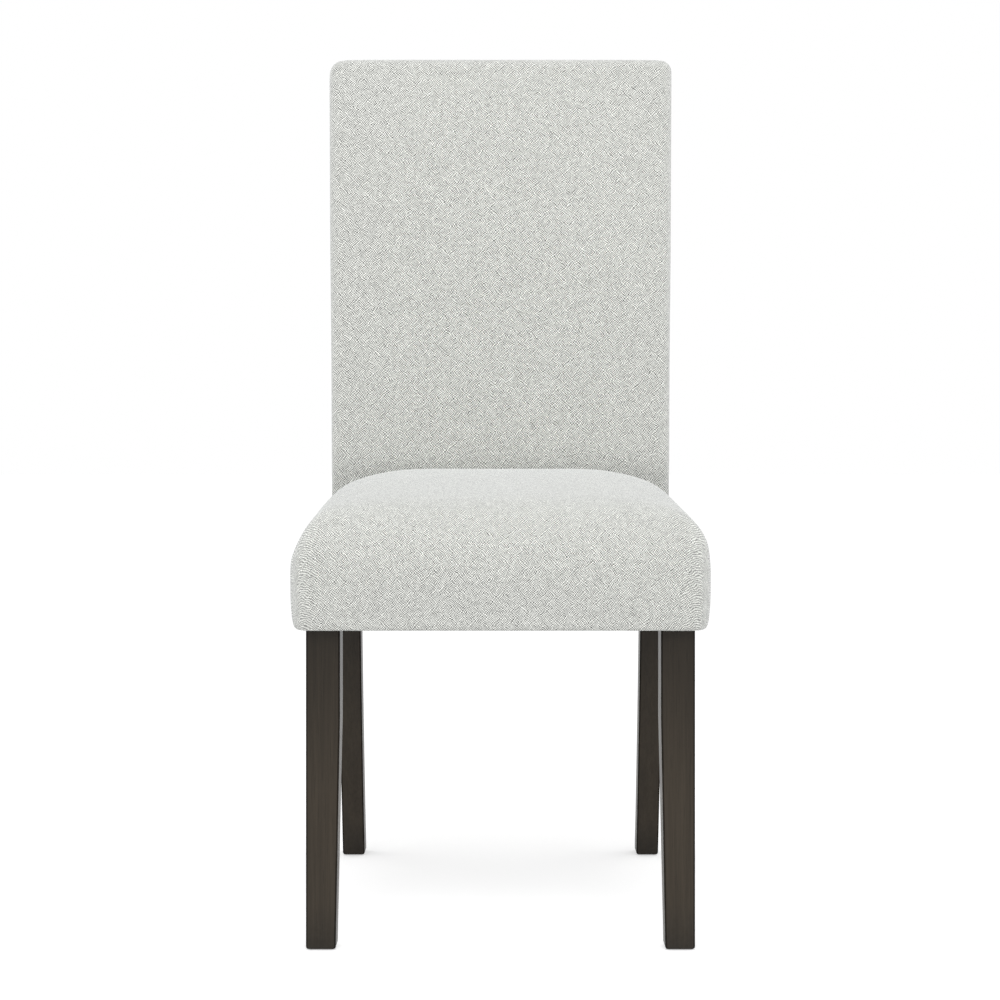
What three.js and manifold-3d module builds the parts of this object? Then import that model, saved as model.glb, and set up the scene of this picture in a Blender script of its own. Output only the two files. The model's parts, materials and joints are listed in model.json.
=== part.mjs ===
// Parsons chair: a tall-backed dining chair, upholstered all over, on four wooden legs.
// Millimetres, +Z up. The origin is the middle of the floor rectangle that the chair fills, and the
// front faces -Y. The inner group starts at the front face of the seat, so its y is "how far back".

import * as THREE from 'three';
import { mergeVertices } from 'three/addons/utils/BufferGeometryUtils.js';
import Module from 'manifold-3d';

const wasm = await Module();
wasm.setup();

// Overall sizes
const overallHeight = 1030;
const overallDepth = 563;
const undersideHeight = 339;
const layerGap = 0.3;
const cutOverrun = 5;

// Seat upholstery
const seatFrontWidth = 449.8;
const seatTaper = 27.2;
const seatDepth = 410;
const seatWallHeight = 64;
const seatRollHeight = 57;
const seatRollReach = 42.6;
const seatDomeHeight = 44.5;
const seatCrestDepth = 250;
const seatCornerRadius = 26;
const seatRearCornerRadius = 6;
const seatHemRadius = 6;
const seatDrawIn = 2.6;
const seatDomeSquareness = 6.7;
const seatDomeSoftness = 1.56;

// Layers of the upholstery
const coverThickness = 1.6;
const waddingThickness = 3.8;
const clothThickness = 0.9;
const turnUnder = 22;

// Back upholstery
const backFlare = 19.4;
const backLean = 86;
const leanBend = 80;
const kneeHeight = 450;
const backPadding = 22;
const backCrown = 4;
const backCrownSquareness = 4;
const backTopCornerRadius = 13;
const backEdgeRadius = 9;
const backEdgeLimitShare = 1 / 3;
const backRearEdgeRadius = 3;
const backReturn = 26;
const backBoardThickness = 2;
const tackStripWidth = 13;
const tackStripThickness = 1.2;
const outsidePanelThickness = 1.6;
const outsidePanelInset = 4;
const outsidePanelDrop = 14;

// Front legs
const frontLegWidth = 36;
const frontLegDepth = 44;
const frontFootWidth = 31.5;
const frontFootDepth = 31;
const frontLegTaperHeight = 245;
const frontLegSetback = 12;
const frontLegInset = 18.9;

// Rear posts, each one piece from the floor to the top of the back
const postWidth = 27;
const postDepth = 36;
const postTopDepth = 26;
const postInset = 6.3;
const postTopInset = 16;
const postTopDrop = 24;
const footSweepPower = 1.5;

// Edges of the wood
const woodArris = 1.2;
const footRounding = 4;

// Seat rails
const railHeight = 60;
const railThickness = 22;
const railSetback = 2;
const tenonThickness = 10;
const tenonShoulder = 7;
const frontTenonLength = 22;
const sideTenonLength = 20;
const postTenonLength = 14;
const rearRailThickness = 18;
const rearRailSetback = 1.5;
const rearTenonThickness = 8;

// Back rails
const backRailThickness = 17;
const backRailTenonThickness = 7;
const backRailTenonLength = 15;
const backRailSetback = 4;
const topRailHeight = 56;
const middleRailHeight = 46;
const lowerRailHeight = 48;
const lowerRailLift = 53.1;
const middleRailShare = 0.44;

// Corner blocks and their screws
const blockReach = 54;
const blockHeight = 40;
const blockEnd = 11;
const screwRadius = 2.2;
const screwHeadRadius = 4.3;
const screwHeadDepth = 3;
const screwLength = 38;
const screwPointLength = 5;
const screwSink = 5;

// Webbing
const webbingWidth = 50;
const webbingThickness = 1.5;
const webbingTurnback = 18;
const webbingRailHold = 19;
const backWebbingWidth = 46;
const webbingSpreadShare = 0.62;
const acrossPlaceShares = [0.22, 0.5, 0.78];
const backStrapShares = [0.2, 0.62, 0.8];
const platformClothInset = 4;

// Glides under the feet
const glideRadius = 8;
const glideThickness = 3.2;
const glideProud = 0.8;
const glideBevel = 0.8;
const glideNailRadius = 1.3;
const glideNailLength = 14;
const glideNailPointLength = 2.6;

// Dust cover
const dustCoverThickness = 0.8;
const dustCoverInset = 13;
const dustCoverLegGap = 2;

// Steps of the round forms
const cornerSteps = 4;
const seatRunSteps = [8, 5, 8, 5];
const backRunSteps = [6, 2, 3, 2];
const lathSteps = 14;
const footSweepSteps = 10;
const leanBendSteps = 4;
const backCrownSteps = 6;
const leastStep = 2;

// Sizes that follow from those above
const seatRearWidth = seatFrontWidth - seatTaper;
const backTopWidth = seatRearWidth + backFlare;
const railBottom = undersideHeight + coverThickness + layerGap;
const railTop = railBottom + railHeight;
const webbingLift = (webbingThickness + layerGap) / 2;
const webbingMid = railTop + layerGap + webbingThickness / 2 + webbingLift;
const webbingTop = webbingMid + webbingLift + webbingThickness / 2;
const platformBottom = webbingTop + layerGap;
const platformTop = platformBottom + clothThickness;
const wallTop = undersideHeight + seatWallHeight;
const postTop = overallHeight - postTopDrop;
const kneeRear = seatDepth + backPadding + postDepth;
const waddingInset = coverThickness + layerGap;
const foamInset = waddingInset + waddingThickness + layerGap;

// Finishes
const darkWood = { color: 0x3e3a35, roughness: 0.5, metalness: 0 };
const paleWood = { color: 0xc9a878, roughness: 0.75, metalness: 0 };
const fabric = { color: 0xcbccc7, roughness: 0.95, metalness: 0 };
const foam = { color: 0xe8dfb8, roughness: 0.9, metalness: 0 };
const wadding = { color: 0xf2f1ec, roughness: 1, metalness: 0 };
const webbing = { color: 0xa98f63, roughness: 0.9, metalness: 0 };
const blackCloth = { color: 0x1c1c1d, roughness: 0.95, metalness: 0 };
const board = { color: 0x9c8a6a, roughness: 0.9, metalness: 0 };
const steel = { color: 0x8f9296, roughness: 0.35, metalness: 0.9 };
const nylon = { color: 0x2a2928, roughness: 0.5, metalness: 0 };

// Geometry helpers

// Turns the faces of a closed geometry outwards when its volume comes out negative.
function facingOut(geometry) {
  const position = geometry.getAttribute('position');
  const index = geometry.getIndex();
  const corner = [new THREE.Vector3(), new THREE.Vector3(), new THREE.Vector3()];
  let volume = 0;
  for (let i = 0; i < index.count; i += 3) {
    corner.forEach((point, k) => point.fromBufferAttribute(position, index.getX(i + k)));
    volume += corner[0].dot(corner[1].cross(corner[2]));
  }
  if (volume < 0) {
    const order = Array.from(index.array);
    order.reverse();
    geometry.setIndex(order);
  }
  return geometry;
}

// Closed skin through a row of rings that have equal counts of points, with a fan over each end.
function loft(rings, lastCentre = null) {
  const points = rings.flat();
  const count = rings[0].length;
  const faces = [];
  for (let r = 0; r + 1 < rings.length; r += 1) {
    for (let i = 0; i < count; i += 1) {
      const a = r * count + i;
      const b = r * count + (i + 1) % count;
      faces.push(a, b, b + count, a, b + count, a + count);
    }
  }
  const first = points.length;
  points.push(middleOf(rings[0]));
  points.push(lastCentre ?? middleOf(rings.at(-1)));
  const lastRing = (rings.length - 1) * count;
  for (let i = 0; i < count; i += 1) {
    const next = (i + 1) % count;
    faces.push(first, next, i);
    faces.push(first + 1, lastRing + i, lastRing + next);
  }
  const geometry = new THREE.BufferGeometry().setFromPoints(points);
  geometry.setIndex(faces);
  return facingOut(geometry);
}

function middleOf(ring) {
  const sum = new THREE.Vector3();
  ring.forEach((point) => sum.add(point));
  return sum.divideScalar(ring.length);
}

function box(low, high) {
  const size = new THREE.Vector3().subVectors(high, low);
  const centre = new THREE.Vector3().addVectors(high, low).multiplyScalar(1 / 2);
  return new THREE.BoxGeometry(size.x, size.y, size.z).translate(centre.x, centre.y, centre.z);
}

function at(x, y, z) {
  return new THREE.Vector3(x, y, z);
}

// Flat shape pushed up by a height, from the given floor.
function slab(points, floor, height) {
  const shape = new THREE.Shape(points.map(([x, y]) => new THREE.Vector2(x, y)));
  const options = { depth: height, bevelEnabled: false };
  return new THREE.ExtrudeGeometry(shape, options).translate(0, 0, floor);
}

function solid(geometry) {
  const bare = geometry.clone();
  bare.deleteAttribute('normal');
  bare.deleteAttribute('uv');
  const merged = mergeVertices(bare);
  return new wasm.Manifold(new wasm.Mesh({
    numProp: 3,
    vertProperties: new Float32Array(merged.getAttribute('position').array),
    triVerts: new Uint32Array(merged.getIndex().array),
  }));
}

function geometryOf(body) {
  const mesh = body.getMesh();
  const geometry = new THREE.BufferGeometry();
  geometry.setAttribute('position', new THREE.BufferAttribute(mesh.vertProperties, 3));
  geometry.setIndex(new THREE.BufferAttribute(mesh.triVerts, 1));
  return geometry;
}

function cut(geometry, cutters) {
  return geometryOf(cutters.reduce((body, cutter) => body.subtract(solid(cutter)), solid(geometry)));
}

function join(geometries) {
  const bodies = geometries.map(solid);
  return geometryOf(bodies.reduce((body, next) => body.add(next)));
}

// The same geometry on the other side of the chair.
function mirrored(geometry) {
  const copy = mergeVertices(geometry.clone().deleteAttribute('normal').deleteAttribute('uv'));
  return facingOut(copy.applyMatrix4(new THREE.Matrix4().makeScale(-1, 1, 1)));
}

function addPiece(group, name, geometry, finish) {
  const piece = new THREE.Mesh(geometry, new THREE.MeshStandardMaterial(finish));
  piece.name = name;
  geometry.computeVertexNormals();
  group.add(piece);
  return piece;
}

function addPair(group, name, geometry, finish) {
  addPiece(group, `${name}_right`, geometry, finish);
  addPiece(group, `${name}_left`, mirrored(geometry), finish);
}

// Value part way between two others.
function between(from, to, share) {
  return from + (to - from) * share;
}

// Curves of the posts and the back; every piece that follows them shares the same level stations,
// so that their flat facets lie side by side

function stepsBetween(from, to, count) {
  return Array.from({ length: count + 1 }, (_, i) => between(from, to, i / count));
}

const footTop = glideProud + footRounding;
const curveStations = [
  0,
  ...stepsBetween(footTop, kneeHeight, footSweepSteps),
  ...stepsBetween(kneeHeight, kneeHeight + leanBend, leanBendSteps).slice(1),
  overallHeight,
];

// Levels from a floor to a top that take in the stations between them, and further equal steps.
function levelsBetween(floor, top, extraSteps = 1) {
  const inner = [...curveStations, ...stepsBetween(floor, top, extraSteps).slice(1, -1)];
  const levels = [floor];
  inner.sort((a, b) => a - b).forEach((level) => {
    if (level - levels.at(-1) > leastStep && top - level > leastStep) levels.push(level);
  });
  return [...levels, top];
}

// The same curve with straight runs between the stations.
function faceted(curve) {
  return (height) => {
    const last = curveStations.length - 2;
    const after = curveStations.findIndex((station) => station > height);
    const i = after < 0 ? last : Math.max(after - 1, 0);
    const start = curveStations[i];
    const end = curveStations[i + 1];
    return between(curve(start), curve(end), (height - start) / (end - start));
  };
}

// How far back the upper part has leant at a height, as a share of the whole lean.
const leanShareAt = faceted((height) => {
  const rise = height - kneeHeight;
  const reach = overallHeight - kneeHeight - leanBend / 2;
  if (rise <= 0) return 0;
  return (rise < leanBend ? rise * rise / (2 * leanBend) : rise - leanBend / 2) / reach;
});

// How far back the lower part has swept at a height, as a share of its sweep at the floor.
const sweepShareAt = faceted((height) => {
  const drop = (kneeHeight - height) / (kneeHeight - footTop);
  return Math.min(Math.max(drop, 0), 1) ** footSweepPower;
});

function postRearAt(height) {
  return kneeRear + (overallDepth - kneeRear) * sweepShareAt(height) + backLean * leanShareAt(height);
}

function upperShareAt(height) {
  return Math.max(height - kneeHeight, 0) / (overallHeight - kneeHeight);
}

function postFrontAt(height) {
  return postRearAt(height) - between(postDepth, postTopDepth, upperShareAt(height));
}

function backHalfAt(height) {
  return between(seatRearWidth, backTopWidth, upperShareAt(height)) / 2;
}

function postOuterAt(height) {
  return backHalfAt(height) - between(postInset, postTopInset, upperShareAt(height));
}

function backFaceAt(height) {
  return seatDepth + backLean * leanShareAt(height);
}

function backCoverRearAt(height) {
  return postRearAt(height) + layerGap + coverThickness;
}

// Plan of the seat

function seatHalfAt(depth) {
  return between(seatFrontWidth, seatRearWidth, depth / seatDepth) / 2;
}

const frontLegOuter = seatFrontWidth / 2 - frontLegInset;
const frontLegInner = frontLegOuter - frontLegWidth;
const frontLegRear = frontLegSetback + frontLegDepth;
const postOuter = postOuterAt(railTop);
const postInner = postOuter - postWidth;
const postFace = postFrontAt(railTop);
const rearRailRear = postRearAt(railTop) - rearRailSetback;
const rearRailFront = rearRailRear - rearRailThickness;

// Outer side of the frame, which runs from the front leg to the post.
function frameOuterAt(depth) {
  const share = Math.max((depth - frontLegRear) / (postFace - frontLegRear), 0);
  return between(frontLegOuter, postOuter, share);
}

function sideRailOuterAt(depth) {
  return frameOuterAt(depth) - railSetback;
}

// Arc of a corner in plan, from one angle to the next, in shares of a full turn.
function cornerArc(centreX, centreY, radius, fromTurn, toTurn) {
  const arc = [];
  for (let i = 0; i <= cornerSteps; i += 1) {
    const turn = between(fromTurn, toTurn, i / cornerSteps) * 2 * Math.PI;
    arc.push(new THREE.Vector2(centreX + radius * Math.cos(turn), centreY + radius * Math.sin(turn)));
  }
  return arc;
}

// Joins the four corners of a plan with straight runs, whose steps are closest near the corners.
function closedPlan(corners, runSteps) {
  const outline = [];
  corners.forEach((arc, k) => {
    const next = corners[(k + 1) % corners.length][0];
    const last = arc.at(-1);
    const steps = runSteps[k];
    outline.push(...arc);
    for (let i = 1; i < steps; i += 1) {
      const share = (1 - Math.cos(Math.PI * i / steps)) / 2;
      outline.push(new THREE.Vector2().lerpVectors(last, next, share));
    }
  });
  return outline;
}

// Outline of the seat, drawn in by an inset at the front and sides and by another at the rear.
function seatPlan(inset, rearInset) {
  const rear = seatDepth - layerGap - rearInset;
  const radius = seatCornerRadius - Math.min(inset, seatCornerRadius / 2);
  const frontX = seatHalfAt(inset + radius) - inset - radius;
  const rearX = seatHalfAt(rear) - inset - seatRearCornerRadius;
  return closedPlan([
    cornerArc(-frontX, inset + radius, radius, 1 / 2, 3 / 4),
    cornerArc(frontX, inset + radius, radius, 3 / 4, 1),
    cornerArc(rearX, rear - seatRearCornerRadius, seatRearCornerRadius, 0, 1 / 4),
    cornerArc(-rearX, rear - seatRearCornerRadius, seatRearCornerRadius, 1 / 4, 1 / 2),
  ], seatRunSteps);
}

// Height of the crowned seat top over a place in plan.
function seatTopAt(x, depth) {
  const half = seatHalfAt(depth);
  const fromSide = half - Math.abs(x);
  const cornerX = Math.max(seatCornerRadius - fromSide, 0);
  const cornerY = Math.max(seatCornerRadius - depth, 0);
  const inCorner = cornerX > 0 && cornerY > 0;
  const inset = inCorner ? seatCornerRadius - Math.hypot(cornerX, cornerY) : Math.min(fromSide, depth);
  const left = 1 - Math.min(Math.max(inset, 0) / seatRollReach, 1);
  const across = Math.max(1 - Math.min(Math.abs(x) / half, 1) ** seatDomeSquareness, 0);
  const along = 1 - (1 - Math.min(depth / seatCrestDepth, 1)) ** 2;
  const roll = seatRollHeight * Math.sqrt(1 - left * left);
  return wallTop + roll + seatDomeHeight * across ** seatDomeSoftness * along;
}

// Shares of the wall height, with how far the hem and the pull of the cover draw each ring in.
const seatWallShares = [
  [0, 1, 0],
  [0.028, 0.3, 0],
  [0.09, 0, 1],
  [0.5, 0, 0.4],
];
// Shares of the plan at which rings cross the top, from the edge inwards.
const seatTopShares = [1, 0.99, 0.965, 0.925, 0.87, 0.79, 0.6, 0.3];

// Closed cushion form of the seat, a number of millimetres inside the outer surface.
function seatForm(inset, rearInset, floor) {
  const outer = seatPlan(0, 0);
  const own = seatPlan(inset, rearInset);
  const middle = new THREE.Vector2(0, seatDepth / 2);
  const rings = seatWallShares.map(([heightShare, hemShare, drawShare]) => {
    const drawn = inset + hemShare * seatHemRadius + drawShare * seatDrawIn;
    return seatPlan(drawn, rearInset).map((point, i) => {
      const top = seatTopAt(outer[i].x, outer[i].y) - inset;
      return at(point.x, point.y, between(floor, top, heightShare));
    });
  });
  seatTopShares.forEach((share) => {
    rings.push(own.map((point, i) => {
      const over = middle.clone().lerp(outer[i], share);
      const place = middle.clone().lerp(point, share);
      return at(place.x, place.y, seatTopAt(over.x, over.y) - inset);
    }));
  });
  return loft(rings, at(0, middle.y, seatTopAt(0, middle.y) - inset));
}

// Level rounded rectangle of the back, with a crowned front run.
function backRing(height, half, front, rear, crown) {
  const edge = Math.min(backEdgeRadius, (rear - front) * backEdgeLimitShare);
  const rearEdge = Math.min(backRearEdgeRadius, edge);
  const outline = closedPlan([
    cornerArc(-half + edge, front + edge, edge, 1 / 2, 3 / 4),
    cornerArc(half - edge, front + edge, edge, 3 / 4, 1),
    cornerArc(half - rearEdge, rear - rearEdge, rearEdge, 0, 1 / 4),
    cornerArc(-half + rearEdge, rear - rearEdge, rearEdge, 1 / 4, 1 / 2),
  ], backRunSteps);
  return outline.map((point) => {
    const isFront = point.y < front + edge / 2;
    const share = Math.min(Math.abs(point.x) / half, 1);
    const bulge = isFront ? crown * (1 - share ** backCrownSquareness) : 0;
    return at(point.x, point.y - bulge, height);
  });
}

// Shares of the quarter turn at the top edge of the back at which rings lie.
const topTurnShares = [0.25, 0.5, 0.75, 1];

// Closed form of the back, a number of millimetres inside the outer surface.
function backForm(inset, floor) {
  const top = overallHeight - inset;
  const turnStart = top - backTopCornerRadius;
  const crownFoot = wallTop + seatRollHeight + seatDomeHeight;
  const heights = levelsBetween(floor, turnStart, backCrownSteps).map((level) => [level, 0]);
  topTurnShares.forEach((share) => {
    const turn = share * Math.PI / 2;
    const drawn = 1 - Math.cos(turn);
    heights.push([turnStart + backTopCornerRadius * Math.sin(turn), drawn]);
  });
  const rings = heights.map(([height, drawn]) => {
    const crownShare = Math.sin(Math.PI * Math.max((height - crownFoot) / (overallHeight - crownFoot), 0));
    const half = backHalfAt(height) - inset - drawn * backTopCornerRadius;
    const front = backFaceAt(height) + inset + drawn * backEdgeRadius;
    const rear = backCoverRearAt(height) - inset - drawn * backEdgeRadius;
    return backRing(height, half, front, rear, backCrown * Math.max(crownShare, 0));
  });
  return loft(rings);
}

// Upright sheet that follows a curve, such as a panel on the back.
function curvedSheet(left, right, faceAt, rearAt, floor, top) {
  return loft(levelsBetween(floor, top).map((height) => [
    at(left(height), faceAt(height), height),
    at(right(height), faceAt(height), height),
    at(right(height), rearAt(height), height),
    at(left(height), rearAt(height), height),
  ]));
}

// Level section of a timber with a small flat taken off each corner.
function timberRing(x0, x1, y0, y1, height, shrink = 0) {
  const arris = woodArris;
  const west = x0 + shrink;
  const east = x1 - shrink;
  const south = y0 + shrink;
  const north = y1 - shrink;
  return [
    at(west + arris, south, height), at(east - arris, south, height),
    at(east, south + arris, height), at(east, north - arris, height),
    at(east - arris, north, height), at(west + arris, north, height),
    at(west, north - arris, height), at(west, south + arris, height),
  ];
}

// Rings that round the bottom edge of a foot.
const footTurnShares = [0, 0.4, 0.7, 1];

function footRings(sectionAt) {
  return footTurnShares.map((share) => {
    const turn = share * Math.PI / 2;
    const height = glideProud + footRounding * (1 - Math.cos(turn));
    return sectionAt(height, footRounding * (1 - Math.sin(turn)));
  });
}

// Front leg, right-hand side
function frontLegForm() {
  const sectionAt = (height, shrink = 0) => {
    const share = Math.min(height / frontLegTaperHeight, 1);
    const inner = frontLegOuter - between(frontFootWidth, frontLegWidth, share);
    const rear = frontLegSetback + between(frontFootDepth, frontLegDepth, share);
    return timberRing(inner, frontLegOuter, frontLegSetback, rear, height, shrink);
  };
  return loft([...footRings(sectionAt), sectionAt(frontLegTaperHeight), sectionAt(railTop)]);
}

// Rear post, right-hand side; a growth makes the cutter for what it passes through
function postForm(growth = 0) {
  const sectionAt = (height, shrink = 0) => {
    const outer = postOuterAt(height) + growth;
    const inner = outer - postWidth - 2 * growth;
    const front = postFrontAt(height) - growth;
    const rear = postRearAt(height) + growth;
    return timberRing(inner, outer, front, rear, height, shrink);
  };
  const upper = levelsBetween(footTop, postTop).slice(1);
  return loft([...footRings(sectionAt), ...upper.map((height) => sectionAt(height))]);
}

// Glides and their seats

function glideForm(clearance = 0) {
  const disc = glideRadius + clearance;
  const shank = glideNailRadius + clearance;
  const top = glideThickness + clearance;
  const tip = glideThickness + glideNailLength + clearance;
  const profile = [
    [0, 0], [disc - glideBevel, 0], [disc, glideBevel], [disc, top],
    [shank, top], [shank, tip - glideNailPointLength], [0, tip],
  ].map(([r, z]) => new THREE.Vector2(r, z));
  return new THREE.LatheGeometry(profile, lathSteps).rotateX(Math.PI / 2);
}

function screwForm(clearance = 0) {
  const shank = screwRadius + clearance;
  const head = screwHeadRadius + clearance;
  const start = -clearance;
  const profile = [
    [0, start], [head, start], [shank, screwHeadDepth + clearance],
    [shank, screwLength - screwPointLength + clearance], [0, screwLength + clearance],
  ].map(([r, y]) => new THREE.Vector2(r, y));
  return new THREE.LatheGeometry(profile, lathSteps);
}

const footCentres = {
  front: [frontLegOuter - frontFootWidth / 2, frontLegSetback + frontFootDepth / 2],
  rear: [postOuterAt(0) - postWidth / 2, postRearAt(0) - postDepth / 2],
};

// Seat of a glide: a shallow round recess, open at the floor, with a hole for the nail.
function glideSeat([x, y]) {
  const recess = glideForm(layerGap);
  const radius = glideRadius + layerGap;
  const length = glideProud + glideThickness;
  const mouth = new THREE.CylinderGeometry(radius, radius, length, lathSteps);
  mouth.rotateX(Math.PI / 2).translate(0, 0, length / 2 - glideProud);
  return [recess.translate(x, y, 0), mouth.translate(x, y, 0)];
}

// Seat rails and their tenons, right-hand side where there are two

const railMiddle = (railTop + railBottom) / 2;
const tenonBottom = railBottom + tenonShoulder;
const tenonTop = railTop - tenonShoulder;
const frontRailFront = frontLegSetback + railSetback;
const frontRailRear = frontRailFront + railThickness;
const frontTenonFront = frontRailFront + (railThickness - tenonThickness) / 2;
const frontTenonReach = frontLegInner + frontTenonLength;
const sideTenonFrontReach = frontLegRear - sideTenonLength;
const sideTenonRearReach = postFace + postTenonLength;
const rearTenonFront = rearRailFront + (rearRailThickness - rearTenonThickness) / 2;
const rearTenonReach = postInner + sideTenonLength;

function frontTenon(clearance = 0) {
  const reach = frontTenonReach + clearance;
  return box(
    at(-reach, frontTenonFront - clearance, tenonBottom - clearance),
    at(reach, frontTenonFront + tenonThickness + clearance, tenonTop + clearance),
  );
}

function rearTenon(clearance = 0) {
  const reach = rearTenonReach + clearance;
  return box(
    at(-reach, rearTenonFront - clearance, tenonBottom - clearance),
    at(reach, rearTenonFront + rearTenonThickness + clearance, tenonTop + clearance),
  );
}

// One tenon of the side rail, which leaves the rail square to the leg that it enters.
function sideTenon(from, to, clearance = 0) {
  const outer = sideRailOuterAt(from) - (railThickness - tenonThickness) / 2;
  const near = Math.min(from, to);
  const far = Math.max(from, to);
  return box(
    at(outer - tenonThickness - clearance, near - clearance, tenonBottom - clearance),
    at(outer + clearance, far + clearance, tenonTop + clearance),
  );
}

function sideRail() {
  const front = frontLegRear + layerGap;
  const heights = levelsBetween(railBottom, railTop);
  const ringAt = (inward) => [
    ...heights.map((height) => [front, height]),
    ...heights.toReversed().map((height) => [postFrontAt(height) - layerGap, height]),
  ].map(([y, height]) => at(sideRailOuterAt(y) - inward, y, height));
  const body = loft([ringAt(0), ringAt(railThickness)]);
  const overlap = railThickness;
  return join([
    body,
    sideTenon(frontLegRear + overlap, sideTenonFrontReach),
    sideTenon(postFace - overlap, sideTenonRearReach),
  ]);
}

function frontRail() {
  const end = frontLegInner - layerGap;
  return join([
    box(at(-end, frontRailFront, railBottom), at(end, frontRailRear, railTop)),
    frontTenon(),
  ]);
}

function rearRail() {
  const end = postInner - layerGap;
  return join([
    box(at(-end, rearRailFront, railBottom), at(end, rearRailRear, railTop)),
    rearTenon(),
  ]);
}

// Rails between the posts above the seat; each lies back with the posts

const lowerRailFloor = railTop + lowerRailLift;
const middleRailFloor = between(lowerRailFloor, postTop, middleRailShare);
const topRailFloor = postTop - topRailHeight;

function backRailBar(floor, height, front, thickness, reach, clearance = 0) {
  const end = (level) => postOuterAt(level) - postWidth + reach + clearance;
  const lift = (level) => postFrontAt(level) + front - clearance;
  const low = floor - clearance;
  const top = floor + height + clearance;
  const ringAt = (side) => [
    at(side * end(low), lift(low), low),
    at(side * end(low), lift(low) + thickness + 2 * clearance, low),
    at(side * end(top), lift(top) + thickness + 2 * clearance, top),
    at(side * end(top), lift(top), top),
  ];
  return loft([ringAt(-1), ringAt(1)]);
}

function backRailTenon(floor, height, clearance = 0) {
  const front = backRailSetback + (backRailThickness - backRailTenonThickness) / 2;
  return backRailBar(floor + tenonShoulder, height - 2 * tenonShoulder, front, backRailTenonThickness,
    backRailTenonLength, clearance);
}

function backRail(floor, height) {
  return join([
    backRailBar(floor, height, backRailSetback, backRailThickness, -layerGap),
    backRailTenon(floor, height),
  ]);
}

// Corner blocks, right-hand side, with their screws

const blockFloor = railMiddle - blockHeight / 2;
const frontBlockInnerX = frontLegInner - blockReach;
const frontBlockRearY = frontLegRear + blockReach;
const rearBlockInnerX = postInner - blockReach;
const rearBlockCornerY = rearRailFront - layerGap;
const rearBlockFrontY = postFrontAt(railTop) - blockReach;

function sideRailInnerAt(depth) {
  return sideRailOuterAt(depth) - railThickness;
}

function frontBlock() {
  const face = frontRailRear + layerGap;
  const legSide = frontLegInner - layerGap;
  const legRear = frontLegRear + layerGap;
  return slab([
    [frontBlockInnerX, face],
    [legSide, face],
    [legSide, legRear],
    [sideRailInnerAt(legRear) - layerGap, legRear],
    [sideRailInnerAt(frontBlockRearY) - layerGap, frontBlockRearY],
    [sideRailInnerAt(frontBlockRearY) - layerGap - blockEnd, frontBlockRearY],
    [frontBlockInnerX, face + blockEnd],
  ], blockFloor, blockHeight);
}

function rearBlock() {
  const postSide = postInner - layerGap;
  const postEdge = postFrontAt(railTop) - layerGap;
  return slab([
    [rearBlockInnerX, rearBlockCornerY],
    [rearBlockInnerX, rearBlockCornerY - blockEnd],
    [sideRailInnerAt(rearBlockFrontY) - layerGap - blockEnd, rearBlockFrontY],
    [sideRailInnerAt(rearBlockFrontY) - layerGap, rearBlockFrontY],
    [sideRailInnerAt(postEdge) - layerGap, postEdge],
    [postSide, postEdge],
    [postSide, rearBlockCornerY],
  ], blockFloor, blockHeight);
}

// Each screw of the right-hand blocks: where its head lies, and which way it points in plan.
const screwNear = blockEnd + screwHeadRadius;
const frontBlockSlope = (frontBlockRearY - frontRailRear - blockEnd)
  / (sideRailInnerAt(frontBlockRearY) - blockEnd - frontBlockInnerX);
const screws = [
  {
    name: 'front_block_front_screw',
    x: frontBlockInnerX + screwNear,
    y: frontRailRear + blockEnd + screwNear * frontBlockSlope - screwSink,
    turn: Math.PI,
  },
  {
    name: 'front_block_side_screw',
    x: sideRailInnerAt(frontBlockRearY) - blockEnd - screwNear / frontBlockSlope + screwSink,
    y: frontBlockRearY - screwNear,
    turn: -Math.PI / 2,
  },
  {
    name: 'rear_block_rear_screw',
    x: rearBlockInnerX + screwNear,
    y: rearBlockCornerY - blockEnd - screwNear * frontBlockSlope + screwSink,
    turn: 0,
  },
  {
    name: 'rear_block_side_screw',
    x: sideRailInnerAt(rearBlockFrontY) - blockEnd - screwNear / frontBlockSlope + screwSink,
    y: rearBlockFrontY + screwNear,
    turn: -Math.PI / 2,
  },
];

// A screw lies level: its lathe form points along +Y before it is turned.
function placedScrew(screw, clearance = 0) {
  return screwForm(clearance).rotateZ(screw.turn).translate(screw.x, screw.y, railMiddle);
}

// Way for a driver from the head of a screw out of the block.
function screwWay(screw) {
  const length = blockReach;
  const radius = screwHeadRadius + layerGap;
  const way = new THREE.CylinderGeometry(radius, radius, length, lathSteps);
  way.translate(0, -length / 2 + layerGap, 0);
  return way.rotateZ(screw.turn).translate(screw.x, screw.y, railMiddle);
}

// Webbing: a strap is the side view of its weave, pushed out to the strap's width

// Height of a strap's middle at a place along it, rising over and dipping under the straps it meets.
function weaveAt(place, crossings) {
  const reach = webbingWidth / 2;
  let height = 0;
  crossings.forEach(({ centre, over, room }) => {
    const away = Math.max(Math.abs(place - centre) - reach - layerGap, 0);
    const share = Math.max(1 - away / room, 0);
    height += (over ? 1 : -1) * webbingLift * (1 - Math.cos(share * Math.PI)) / 2;
  });
  return height;
}

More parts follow.
